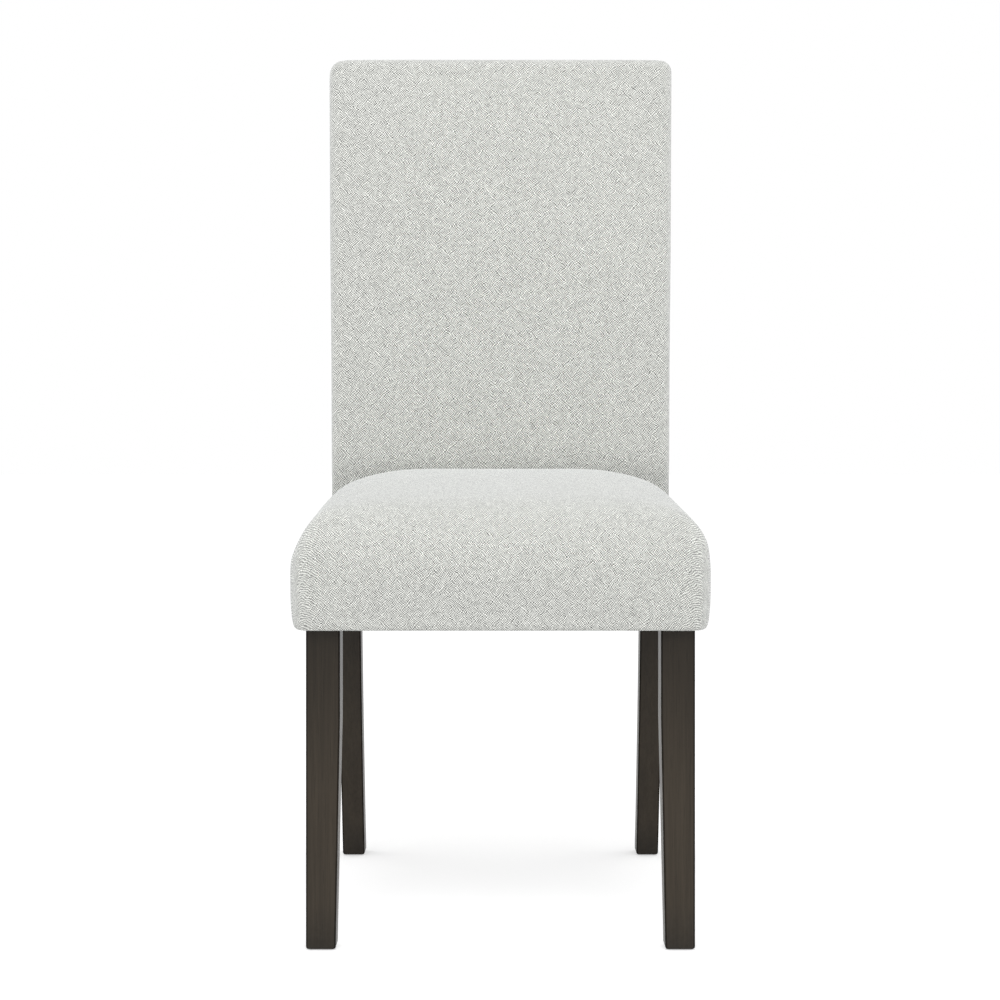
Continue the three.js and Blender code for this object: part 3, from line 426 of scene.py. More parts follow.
class Dust(Effect):
    """Fine dust that settles on level places and, where Rise is given, low down near the floor."""

    title = "settled_dust"
    inputs = {"Amount": 0.3, "Rise": 0.03}
    outputs = ("Mask",)

    def wire(self, wiring: Wiring, given: dict[str, bpy.types.NodeSocket]) -> dict[str, bpy.types.NodeSocket]:
        """Builds the mask.

        Args:
            wiring: Adds the nodes.
            given: The group's inputs by name.

        Returns:
            The share of dust.
        """
        parts = wiring.add("ShaderNodeSeparateXYZ", {0: given["Vector"]})
        low = wiring.math("SUBTRACT", 1.0, wiring.math("DIVIDE", parts.outputs[2], given["Rise"]))
        low = wiring.math("MAXIMUM", low, 0.0)
        normal = wiring.add("ShaderNodeSeparateXYZ", {0: wiring.add("ShaderNodeNewGeometry").outputs["Normal"]})
        level = wiring.spread(normal.outputs[2], 0.6, 1.0, 0.0, 1.0)
        patchy = wiring.spread(wiring.noise(given["Vector"], 160.0, 4.0), 0.35, 0.7, 0.3, 1.0)
        mask = wiring.math("MULTIPLY", wiring.math("MAXIMUM", low, level), patchy)
        return {"Mask": wiring.math("MULTIPLY", mask, given["Amount"])}


class Clouding(Effect):
    """Broad, soft changes of tone, such as uneven dye, rubbing and handling leave."""

    title = "soft_clouding"
    inputs = {"Size": 0.09}
    outputs = ("Tone", "Fine")

    def wire(self, wiring: Wiring, given: dict[str, bpy.types.NodeSocket]) -> dict[str, bpy.types.NodeSocket]:
        """Builds the clouds.

        Args:
            wiring: Adds the nodes.
            given: The group's inputs by name.

        Returns:
            The broad tone and a finer one, each 0 to 1.
        """
        scale = wiring.math("DIVIDE", 1.0, given["Size"])
        spot = wiring.add("ShaderNodeVectorMath", {0: given["Vector"], "Scale": scale}, operation="SCALE").outputs[0]
        return {"Tone": wiring.noise(spot, 1.0, 3.0), "Fine": wiring.noise(spot, 9.0, 4.0)}


@dataclass(frozen=True)
class Finish:
    """What every finish shares: a name, a base colour as shown on a screen, and how rough it is."""

    title: str
    shown: Colour
    roughness: float = 0.8

    @property
    def colour(self) -> Colour:
        """Gives the base colour in linear values."""
        return shown_colour(*self.shown)

    def shade(self, wiring: Wiring, shader: bpy.types.Node) -> None:
        """Wires the surface of this finish.

        Args:
            wiring: The material's wiring.
            shader: The material's Principled BSDF.
        """
        raise NotImplementedError

    def material(self) -> bpy.types.Material:
        """Builds the material once and gives it back whenever it is asked for.

        Returns:
            The material.
        """
        known = bpy.data.materials.get(self.title)
        if known is not None:
            return known
        material = bpy.data.materials.new(self.title)
        material.use_nodes = True
        shader = material.node_tree.nodes["Principled BSDF"]
        shader.inputs["Roughness"].default_value = self.roughness
        self.shade(Wiring(material.node_tree), shader)
        return material


def object_place(wiring: Wiring) -> bpy.types.NodeSocket:
    """Gives the Object coordinates of a material."""
    return wiring.add("ShaderNodeTexCoord").outputs["Object"]


def cloth_place(wiring: Wiring) -> bpy.types.NodeSocket:
    """Gives the coordinates of a cloth along its own threads, in metres."""
    return wiring.add("ShaderNodeUVMap", uv_map="threads").outputs[0]


def raise_surface(wiring: Wiring, shader: bpy.types.Node, height: bpy.types.NodeSocket,
                  distance: float, strength: float = 1.0) -> None:
    """Feeds a height into the normal of a shader.

    Args:
        wiring: The material's wiring.
        shader: The shader that is raised.
        height: Height of the surface, 0 to 1.
        distance: How far a full step of height stands up, in metres.
        strength: Share of the effect.
    """
    bump = wiring.add("ShaderNodeBump", {"Height": height, "Distance": distance, "Strength": strength})
    wiring.tree.links.new(bump.outputs[0], shader.inputs["Normal"])


@dataclass(frozen=True)
class TweedCloth(Finish):
    """The cover: a pale melange tweed with light, middle and dark yarns and a soft fuzz."""

    contrast: float = 1.46
    evenness: float = 0.40
    pitch: float = 0.0013
    yarn_contrast: float = 0.015
    fuzz: float = 0.62
    # Tone of the painted shade where the seat meets the back.
    crease: float = 0.84

    def shade(self, wiring: Wiring, shader: bpy.types.Node) -> None:
        """Wires the yarns, their relief, the painted shade between the yarns and above the seat, and the soft bloom of
        the fuzz.

        Args:
            wiring: The material's wiring.
            shader: The material's Principled BSDF.
        """
        threads = cloth_place(wiring)
        weave = Weave().use(wiring, threads, Pitch=self.pitch, Wander=3.0, Drift_Size=0.008, Slub=2.0)
        clouds = Clouding().use(wiring, object_place(wiring), Size=0.12)
        fluff = wiring.noise(threads, 900.0, 3.0)
        step = wiring.math("MULTIPLY", wiring.spread(weave["Over"], 0.0, 1.0, -0.5, 0.5),
                           wiring.spread(weave["Fleck"], 0.0, 1.0, self.evenness * self.contrast,
                                         (1.4 - self.evenness) * self.contrast))
        yarn = wiring.spread(weave["Tone"], 0.0, 1.0, -self.yarn_contrast, self.yarn_contrast)
        tone = wiring.math("ADD", wiring.math("ADD", step, yarn), 0.84)
        # Painted shade: darker where the weave is low, between the yarns.
        tone = wiring.math("MULTIPLY", tone, wiring.spread(weave["Height"], 0.0, 0.8, 0.74, 1.05))
        tone = wiring.math("MULTIPLY", tone, wiring.spread(fluff, 0.3, 0.7, 0.98, 1.02))
        tone = wiring.math("MULTIPLY", tone, wiring.spread(clouds["Tone"], 0.3, 0.7, 0.99, 1.01))
        # Painted shade where the seat meets the back, from the share that the back writes.
        joint = wiring.add("ShaderNodeAttribute", attribute_name="crease").outputs["Fac"]
        tone = wiring.math("MULTIPLY", tone, wiring.spread(joint, 0.0, 1.0, 1.0, self.crease))
        grey = wiring.add("ShaderNodeCombineColor", {0: tone, 1: tone, 2: tone}).outputs[0]
        colour = wiring.blend(1.0, self.colour, grey, "MULTIPLY")
        wiring.tree.links.new(colour, shader.inputs["Base Color"])
        rough = wiring.spread(weave["Tone"], 0.0, 1.0, 1.0, self.roughness)
        wiring.tree.links.new(rough, shader.inputs["Roughness"])
        relief = wiring.math("ADD", weave["Height"], wiring.math("MULTIPLY", fluff, 0.35))
        raise_surface(wiring, shader, relief, 0.0003, 0.06)
        shader.inputs["Sheen Weight"].default_value = self.fuzz
        shader.inputs["Sheen Roughness"].default_value = 0.65
        shader.inputs["Sheen Tint"].default_value = (0.97, 0.985, 1.0, 1.0)
        shader.inputs["Specular IOR Level"].default_value = 0.15


@dataclass(frozen=True)
class StainedWood(Finish):
    """Wood under a stain and a thin satin lacquer, with painted shade on the arrises where the piece marks them, under
    the seat and at the foot.
    """

    figure: float = 0.12
    # Share of painted shade along the arrises.
    arris: float = 0.7
    gloss: float = 0.2
    dust: float = 0.03
    # How dark the painted shade makes the wood under the seat and at the foot.
    painted_top_shade: float = 0.45
    painted_foot_shade: float = 0.5

    def shade(self, wiring: Wiring, shader: bpy.types.Node) -> None:
        """Wires the grain, the painted shade on the arrises, under the seat and at the foot, and the dust near the
        floor.

        Args:
            wiring: The material's wiring.
            shader: The material's Principled BSDF.
        """
        spot = object_place(wiring)
        grain = Grain().use(wiring, spot, Fibre_Width=0.0010, Fibre_Length=0.045)
        fibre = wiring.spread(grain["Fibre"], 0.3, 0.7, 1 - self.figure, 1 + self.figure)
        figure = wiring.spread(grain["Figure"], 0.3, 0.7, 1 - self.figure, 1 + self.figure)
        tone = wiring.math("MULTIPLY", fibre, figure)
        tone = wiring.math("MULTIPLY", tone, wiring.spread(grain["Pores"], 0.0, 1.0, 1.0, 0.72))
        # Painted shade: darker along the arrises, in patches; the same share also makes them rougher.
        mark = wiring.add("ShaderNodeAttribute", attribute_name="arris").outputs["Fac"]
        arris_shade_patches = wiring.spread(wiring.noise(spot, 55.0, 3.0), 0.3, 0.75, 1.0, 0.75)
        edge = wiring.math("MULTIPLY", mark, arris_shade_patches)
        tone = wiring.math("MULTIPLY", tone, wiring.spread(edge, 0.0, 1.0, 1.0, 1 - self.arris))
        # Painted shade: darker towards the top, under the seat, and towards the foot by the floor.
        height = wiring.add("ShaderNodeSeparateXYZ", {0: spot}).outputs[2]
        tone = wiring.math("MULTIPLY", tone, wiring.spread(height, 0.17, 0.34, 1.0, self.painted_top_shade))
        tone = wiring.math("MULTIPLY", tone, wiring.spread(height, 0.0, 0.05, self.painted_foot_shade, 1.0))
        grey = wiring.add("ShaderNodeCombineColor", {0: tone, 1: tone, 2: tone}).outputs[0]
        colour = wiring.blend(1.0, self.colour, grey, "MULTIPLY")
        mask = Dust().use(wiring, spot, Amount=self.dust, Rise=0.06)["Mask"]
        colour = wiring.blend(mask, colour, shown_colour(150, 146, 138))
        wiring.tree.links.new(colour, shader.inputs["Base Color"])
        rough = wiring.spread(grain["Fibre"], 0.3, 0.7, self.roughness + 0.05, self.roughness - 0.05)
        rough = wiring.math("ADD", rough, wiring.math("MULTIPLY", wiring.math("MAXIMUM", mask, edge), 0.6))
        wiring.tree.links.new(rough, shader.inputs["Roughness"])
        relief = wiring.math("SUBTRACT", grain["Fibre"], grain["Pores"])
        raise_surface(wiring, shader, relief, 0.00005, 0.7)
        shader.inputs["Specular IOR Level"].default_value = self.gloss


@dataclass(frozen=True)
class WovenBand(Finish):
    """Webbing and plain cloths inside the chair: coarse, regular yarns."""

    pitch: float = 0.0022
    contrast: float = 0.25

    def shade(self, wiring: Wiring, shader: bpy.types.Node) -> None:
        """Wires the yarns, the painted shade between them and their relief.

        Args:
            wiring: The material's wiring.
            shader: The material's Principled BSDF.
        """
        weave = Weave().use(wiring, object_place(wiring), Pitch=self.pitch, Wander=0.2, Slub=14.0)
        tone = wiring.spread(weave["Tone"], 0.0, 1.0, 1 - self.contrast, 1 + self.contrast)
        # Painted shade: darker where the weave is low, between the yarns.
        tone = wiring.math("MULTIPLY", tone, wiring.spread(weave["Height"], 0.0, 0.8, 0.55, 1.0))
        grey = wiring.add("ShaderNodeCombineColor", {0: tone, 1: tone, 2: tone}).outputs[0]
        wiring.tree.links.new(wiring.blend(1.0, self.colour, grey, "MULTIPLY"), shader.inputs["Base Color"])
        raise_surface(wiring, shader, weave["Height"], 0.0006)


@dataclass(frozen=True)
class FeltedSheet(Finish):
    """Pressed fibres: the black cloth under the seat, wadding, hardboard and foam."""

    fibre: float = 1400.0
    bond: float = 0.0
    contrast: float = 0.2
    depth: float = 0.0003

    def shade(self, wiring: Wiring, shader: bpy.types.Node) -> None:
        """Wires the fibres, the rows of bonded dots and the dust.

        Args:
            wiring: The material's wiring.
            shader: The material's Principled BSDF.
        """
        spot = object_place(wiring)
        fibres = wiring.noise(spot, self.fibre, 5.0)
        clouds = Clouding().use(wiring, spot, Size=0.03)
        tone = wiring.spread(fibres, 0.25, 0.75, 1 - self.contrast, 1 + self.contrast)
        tone = wiring.math("MULTIPLY", tone, wiring.spread(clouds["Fine"], 0.3, 0.7, 0.92, 1.08))
        height = fibres
        if self.bond > 0:
            dots = Weave().use(wiring, spot, Pitch=self.bond, Wander=0.0, Slub=50.0)["Height"]
            tone = wiring.math("MULTIPLY", tone, wiring.spread(dots, 0.5, 0.9, 1.25, 0.8))
            height = wiring.math("ADD", fibres, dots)
        grey = wiring.add("ShaderNodeCombineColor", {0: tone, 1: tone, 2: tone}).outputs[0]
        wiring.tree.links.new(wiring.blend(1.0, self.colour, grey, "MULTIPLY"), shader.inputs["Base Color"])
        raise_surface(wiring, shader, height, self.depth)


@dataclass(frozen=True)
class PlainHardware(Finish):
    """Steel and nylon: a smooth body with fine scratches and a little dust."""

    metallic: float = 0.0

    def shade(self, wiring: Wiring, shader: bpy.types.Node) -> None:
        """Wires the scratches, the tone and the dust.

        Args:
            wiring: The material's wiring.
            shader: The material's Principled BSDF.
        """
        spot = object_place(wiring)
        scratches = Grain().use(wiring, spot, Fibre_Width=0.0003, Fibre_Length=0.006)["Fibre"]
        clouds = Clouding().use(wiring, spot, Size=0.006)
        tone = wiring.spread(clouds["Tone"], 0.3, 0.7, 0.88, 1.08)
        grey = wiring.add("ShaderNodeCombineColor", {0: tone, 1: tone, 2: tone}).outputs[0]
        colour = wiring.blend(1.0, self.colour, grey, "MULTIPLY")
        mask = Dust().use(wiring, spot, Amount=0.3, Rise=0.01)["Mask"]
        wiring.tree.links.new(wiring.blend(mask, colour, shown_colour(140, 134, 124)), shader.inputs["Base Color"])
        rough = wiring.spread(scratches, 0.3, 0.7, self.roughness - 0.1, self.roughness + 0.12)
        wiring.tree.links.new(rough, shader.inputs["Roughness"])
        raise_surface(wiring, shader, scratches, 0.00002, 0.5)
        shader.inputs["Metallic"].default_value = self.metallic


FINISHES: dict[Slot, Finish] = {
    Slot.LEG_WOOD: StainedWood("dark_stained_wood", (56, 49, 40), 0.38),
    Slot.FRAME_WOOD: StainedWood("plain_frame_wood", (196, 165, 122), 0.7, figure=0.16, arris=0.0, gloss=0.3,
                                 painted_top_shade=1.0, painted_foot_shade=1.0),
    Slot.COVER: TweedCloth("pale_tweed_cover", (207, 208, 203), 0.85),
    Slot.FOAM: FeltedSheet("seat_foam_cells", (226, 214, 172), 0.95, fibre=900.0, contrast=0.15, depth=0.0004),
    Slot.WADDING: FeltedSheet("white_wadding", (236, 236, 230), 0.95, fibre=500.0, contrast=0.12, depth=0.0008),
    Slot.WEBBING: WovenBand("jute_webbing", (150, 122, 84), 0.9),
    Slot.DUST_CLOTH: FeltedSheet("black_underside_cloth", (34, 34, 36), 0.8, bond=0.0016),
    Slot.BOARD: FeltedSheet("brown_hardboard", (118, 88, 58), 0.75, fibre=700.0, depth=0.00015),
    Slot.STEEL: PlainHardware("zinc_steel", (176, 176, 172), 0.4, metallic=1.0),
    Slot.NYLON: PlainHardware("nylon_glide", (74, 70, 64), 0.5),
}


def set_out(piece: bpy.types.Object, slot: Slot, replaces: Sequence[str] = ()) -> None:
    """Gives a finished piece the material of its slot, puts it on its body and hides the CAD nodes that it stands for.

    Args:
        piece: The piece.
        slot: Material slot that it takes its finish from.
        replaces: Names of the nodes that it replaces.
    """
    if not piece.data.materials:
        piece.data.materials.append(FINISHES[slot].material())
    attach(piece, BODY)
    if replaces:
        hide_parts(*replaces)


def make_object(name: str, mesh: bpy.types.Mesh) -> bpy.types.Object:
    """Puts a mesh into the scene as a smooth piece.

    Args:
        name: Name of the piece.
        mesh: Its mesh.

    Returns:
        The new object.
    """
    mesh.polygons.foreach_set("use_smooth", [True] * len(mesh.polygons))
    piece = bpy.data.objects.new(name, mesh)
    bpy.context.scene.collection.objects.link(piece)
    return piece


def turn_outwards(mesh: bpy.types.Mesh) -> None:
    """Points every face of a closed mesh outwards."""
    work = bmesh.new()
    work.from_mesh(mesh)
    bmesh.ops.recalc_face_normals(work, faces=work.faces)
    work.to_mesh(mesh)
    work.free()


# Padded pieces


@dataclass(frozen=True)
class Settling:
    """How the cloth of a padded piece is let settle under its padding."""

    pressure: float = 4.0
    frames: int = 20
    slack: float = 3.0
    reach: float = 1.6
    evening: int = 24

    def settle(self, piece: bpy.types.Object, held: np.ndarray) -> None:
        """Presses the cover out from inside and keeps what that adds to the finished surface.

        Args:
            piece: The padded piece.
            held: For each point, 1 where the cover is fastened and 0 where it is free.
        """
        mesh = piece.data
        count = len(mesh.vertices)
        goal = np.empty(count * 3)
        mesh.vertices.foreach_get("co", goal)
        goal = goal.reshape(-1, 3)
        normals = np.empty(count * 3)
        mesh.vertex_normals.foreach_get("vector", normals)
        normals = normals.reshape(-1, 3)
        start = goal - normals * ((1 - held) * self.slack / METRE)[:, None]
        mesh.vertices.foreach_set("co", start.ravel())
        group = piece.vertex_groups.new(name="fastened")
        for index in np.flatnonzero(held > 0):
            group.add([int(index)], float(held[index]), "REPLACE")
        cloth = piece.modifiers.new("settle", "CLOTH")
        cloth.settings.quality = 4
        cloth.settings.mass = 0.3
        cloth.settings.tension_stiffness = 12
        cloth.settings.compression_stiffness = 12
        cloth.settings.bending_stiffness = 0.4
        cloth.settings.use_pressure = True
        cloth.settings.uniform_pressure_force = self.pressure
        cloth.settings.effector_weights.gravity = 0
        cloth.settings.vertex_group_mass = group.name
        cloth.point_cache.frame_start = 1
        cloth.point_cache.frame_end = self.frames
        scene = bpy.context.scene
        for number in range(1, self.frames + 1):
            scene.frame_set(number)
        settled = np.empty(count * 3)
        shaped = piece.evaluated_get(bpy.context.evaluated_depsgraph_get()).to_mesh()
        shaped.vertices.foreach_get("co", settled)
        piece.modifiers.remove(cloth)
        piece.vertex_groups.remove(group)
        scene.frame_set(1)
        rise = ((settled.reshape(-1, 3) - goal) * normals).sum(axis=1)
        rise = (rise - self.evened(mesh, rise)) * (1 - held)
        rise = np.clip(rise, -self.reach / METRE, self.reach / METRE)
        mesh.vertices.foreach_set("co", (goal + normals * rise[:, None]).ravel())
        mesh.update()

    def evened(self, mesh: bpy.types.Mesh, values: np.ndarray) -> np.ndarray:
        """Spreads values over the mesh, so that only their slow changes are left.

        Args:
            mesh: The mesh that they belong to.
            values: One value for each point.

        Returns:
            The evened values.
        """
        ends = np.empty(len(mesh.edges) * 2, dtype=np.int64)
        mesh.edges.foreach_get("vertices", ends)
        ends = ends.reshape(-1, 2)
        joined = np.bincount(ends.ravel(), minlength=len(values))
        for _ in range(self.evening):
            total = np.bincount(ends[:, 0], weights=values[ends[:, 1]], minlength=len(values))
            total += np.bincount(ends[:, 1], weights=values[ends[:, 0]], minlength=len(values))
            values = (values + total / np.maximum(joined, 1)) / 2
        return values


@dataclass(frozen=True)
class Station:
    """Where a column of a padded face lies: on one side, at a fixed inset and a share of the level run."""

    side: int
    fixed: float
    share: float


def across_stations(roll: float, turns: int, level_steps: int) -> list[Station]:
    """Lays out the columns of a padded face, close together on its rolled edges.

    Args:
        roll: Reach of the rolled edge.
        turns: Columns on each roll.
        level_steps: Columns from the roll to the middle.

    Returns:
        The columns from the left edge to the right one.
    """
    half = [(roll * (1 - math.cos(math.pi / 2 * k / turns)), 0.0) for k in range(turns)]
    half += [(roll, k / level_steps) for k in range(level_steps + 1)]
    left = [Station(-1, fixed, share) for fixed, share in half]
    right = [Station(1, fixed, share) for fixed, share in reversed(half[:-1])]
    return left + right


def end_stations(roll: float, turns: int, length: float, step: float) -> list[float]:
    """Lays out the rows of a padded face from its rolled end to its open end.

    Args:
        roll: Reach of the rolled edge.
        turns: Rows on the roll.
        length: Distance to the open end.
        step: Distance between rows beyond the roll.

    Returns:
        The distance of each row from the rolled end.
    """
    rows = [roll * (1 - math.cos(math.pi / 2 * k / turns)) for k in range(turns)]
    count = round((length - roll) / step)
    return rows + [between(roll, length, k / count) for k in range(count + 1)]


def round_corner(aside: float, along: float, radius: float) -> Plan:
    """Moves a point near a square corner to its place under a round one, at the same distance from the edge.

    Args:
        aside: Distance from the side edge.
        along: Distance from the end edge.
        radius: Radius of the corner.

    Returns:
        The two distances after the move.
    """
    if aside >= radius or along >= radius:
        return aside, along
    over, up = radius - aside, radius - along
    shrink = max(over, up) / math.hypot(over, up)
    return radius - over * shrink, radius - up * shrink


def edge_direction(aside: float, along: float, radius: float) -> Plan:
    """Gives the way out from the edge of a face.

    Args:
        aside: Distance from the side edge.
        along: Distance from the end edge.
        radius: Radius of the corner.

    Returns:
        The parts of the direction towards the side and towards the end.
    """
    if aside < radius and along < radius:
        over, up = radius - aside, radius - along
        return over / math.hypot(over, up), up / math.hypot(over, up)
    return (1.0, 0.0) if aside < along else (0.0, 1.0)


@dataclass
class PaddedBody:
    """A padded face with walls round three of its sides, closed round the room for the frame."""

    lines: ChairLines
    name: str
    stands_for: tuple[str, ...]

    columns: list[Station]
    rows: list[float]
    radius: float
    fill: float = 0.9
    thread_stretch: float = 1.0

    def outer_face(self, station: Station, along: float) -> Vector:
        """Gives a point of the face."""
        raise NotImplementedError

    def inner_face(self, station: Station, along: float) -> Vector:
        """Gives the point under it, where the padding ends."""
        raise NotImplementedError

    def wall_rows(self) -> int:
        """Gives the number of rows of the walls."""
        raise NotImplementedError

    def outer_wall(self, station: Station, along: float, row: int) -> Vector:
        """Gives a point of a wall below the edge of the face."""
        raise NotImplementedError

    def inner_wall(self, station: Station, along: float, row: int) -> Vector:
        """Gives the point of the padding's inner side behind it."""
        raise NotImplementedError

    def edge(self) -> list[tuple[int, int]]:
        """Gives the row and column of each point along the edge of the face, from the open end round to it again."""
        last_row, last_column = len(self.rows) - 1, len(self.columns) - 1
        left = [(row, 0) for row in range(last_row, -1, -1)]
        end = [(0, column) for column in range(1, last_column + 1)]
        right = [(row, last_column) for row in range(1, last_row + 1)]
        return left + end + right

    def build(self) -> bpy.types.Object:
        """Builds the closed body with its thread coordinates.

        Returns:
            The object, before its cloth settles.
        """
        wide, deep = len(self.columns), len(self.rows)
        edge = self.edge()
        around, low = len(edge), self.wall_rows()
        sheets = []
        for face, wall in ((self.outer_face, self.outer_wall), (self.inner_face, self.inner_wall)):
            points = [face(station, along) for along in self.rows for station in self.columns]
            points += [wall(self.columns[column], self.rows[row], level)
                       for level in range(1, low + 1) for row, column in edge]
            sheets.append(np.array([tuple(point) for point in points]))
        count = len(sheets[0])

        def wall_index(level: int, step: int) -> int:
            """Gives the number of a wall point; level 0 is the edge of the face."""
            if level == 0:
                return edge[step][0] * wide + edge[step][1]
            return wide * deep + (level - 1) * around + step

        face_quads = [(row * wide + column, row * wide + column + 1, (row + 1) * wide + column + 1,
                       (row + 1) * wide + column) for row in range(deep - 1) for column in range(wide - 1)]
        wall_quads = [(wall_index(level, step), wall_index(level, step + 1), wall_index(level + 1, step + 1),
                       wall_index(level + 1, step)) for level in range(low) for step in range(around - 1)]
        rim = [(deep - 1) * wide + column for column in range(wide)]
        rim += [wall_index(level, around - 1) for level in range(1, low + 1)]
        rim += [wall_index(low, step) for step in range(around - 2, -1, -1)]
        rim += [wall_index(level, 0) for level in range(low - 1, 0, -1)]
        rim_quads = [(one, two, two + count, one + count) for one, two in zip(rim, rim[1:] + rim[:1])]
        inner_quads = [tuple(index + count for index in reversed(quad)) for quad in face_quads + wall_quads]
        mesh = bpy.data.meshes.new(self.name)
        mesh.from_pydata(np.vstack(sheets).tolist(), [], face_quads + wall_quads + rim_quads + inner_quads)
        self.lay_threads(mesh, sheets[0], edge, len(face_quads))
        # Writes the share of painted shade where the seat meets the back.
        creases = mesh.attributes.new("crease", "FLOAT", "POINT")
        creases.data.foreach_set("value", [self.crease(vertex.co) for vertex in mesh.vertices])
        turn_outwards(mesh)
        return make_object(self.name, mesh)

    def lay_threads(self, mesh: bpy.types.Mesh, points: np.ndarray, edge: list[tuple[int, int]],
                    face_count: int) -> None:
        """Writes where the threads of the cover run, in metres along the cloth, unbroken over each edge of the face.

        Args:
            mesh: The closed mesh.
            points: Points of the outer sheet.
            edge: Row and column of each point along the edge of the face.
            face_count: Number of quads of the face, which come first and are followed by those of the walls.
        """
        wide, deep, around, low = len(self.columns), len(self.rows), len(edge), self.wall_rows()
        face = points[:wide * deep].reshape(deep, wide, 3)
        across = np.zeros((deep, wide))
        across[:, 1:] = np.linalg.norm(np.diff(face, axis=1), axis=2).cumsum(axis=1)
        across -= across[:, wide // 2][:, None]
        down = np.zeros((deep, wide))
        down[1:] = np.linalg.norm(np.diff(face, axis=0), axis=2).cumsum(axis=0)
        down -= down[sum(station.side < 0 and station.share == 0 for station in self.columns) - 1]
        walls = np.concatenate([np.array([face[row, column] for row, column in edge])[None],
                                points[wide * deep:].reshape(low, around, 3)])
        drop = np.zeros((low + 1, around))
        drop[1:] = np.linalg.norm(np.diff(walls, axis=0), axis=2).cumsum(axis=0)
        starts = np.array([(across[row, column], down[row, column]) for row, column in edge])
        corners = np.empty(len(mesh.loops), dtype=np.int64)
        mesh.loops.foreach_get("vertex_index", corners)
        threads = np.zeros((len(corners), 2))
        on_face = np.stack([across.ravel(), down.ravel()], axis=1)
        threads[:4 * face_count] = on_face[corners[:4 * face_count]]
        loop = 4 * face_count
        for level in range(low):
            for step in range(around - 1):
                way = (-1.0, 0.0) if step < deep - 1 else (1.0, 0.0) if step >= deep + wide - 2 else (0.0, -1.0)
                for row, column in ((level, step), (level, step + 1), (level + 1, step + 1), (level + 1, step)):
                    threads[loop] = starts[column] + drop[row, column] * np.array(way)
                    loop += 1
        layer = mesh.uv_layers.new(name="threads")
        layer.data.foreach_set("uv", (threads / self.thread_stretch).ravel())

    def crease(self, point: Vector) -> float:
        """Gives the share of painted shade at a point where the seat meets the back, 0 to 1."""
        return 0.0

    def held_points(self, piece: bpy.types.Object) -> np.ndarray:
        """Gives 1 for each point where the cover is fastened to the frame, 0 where it is free."""
        raise NotImplementedError

    def make(self, settling: Settling) -> bpy.types.Object:
        """Makes the finished padded piece.

        Args:
            settling: How its cloth settles.

        Returns:
            The piece.
        """
        piece = self.build()
        settling.settle(piece, self.held_points(piece))
        finer = piece.modifiers.new("finer", "SUBSURF")
        finer.levels = finer.render_levels = 1
        set_out(piece, Slot.COVER, self.stands_for)
        return piece


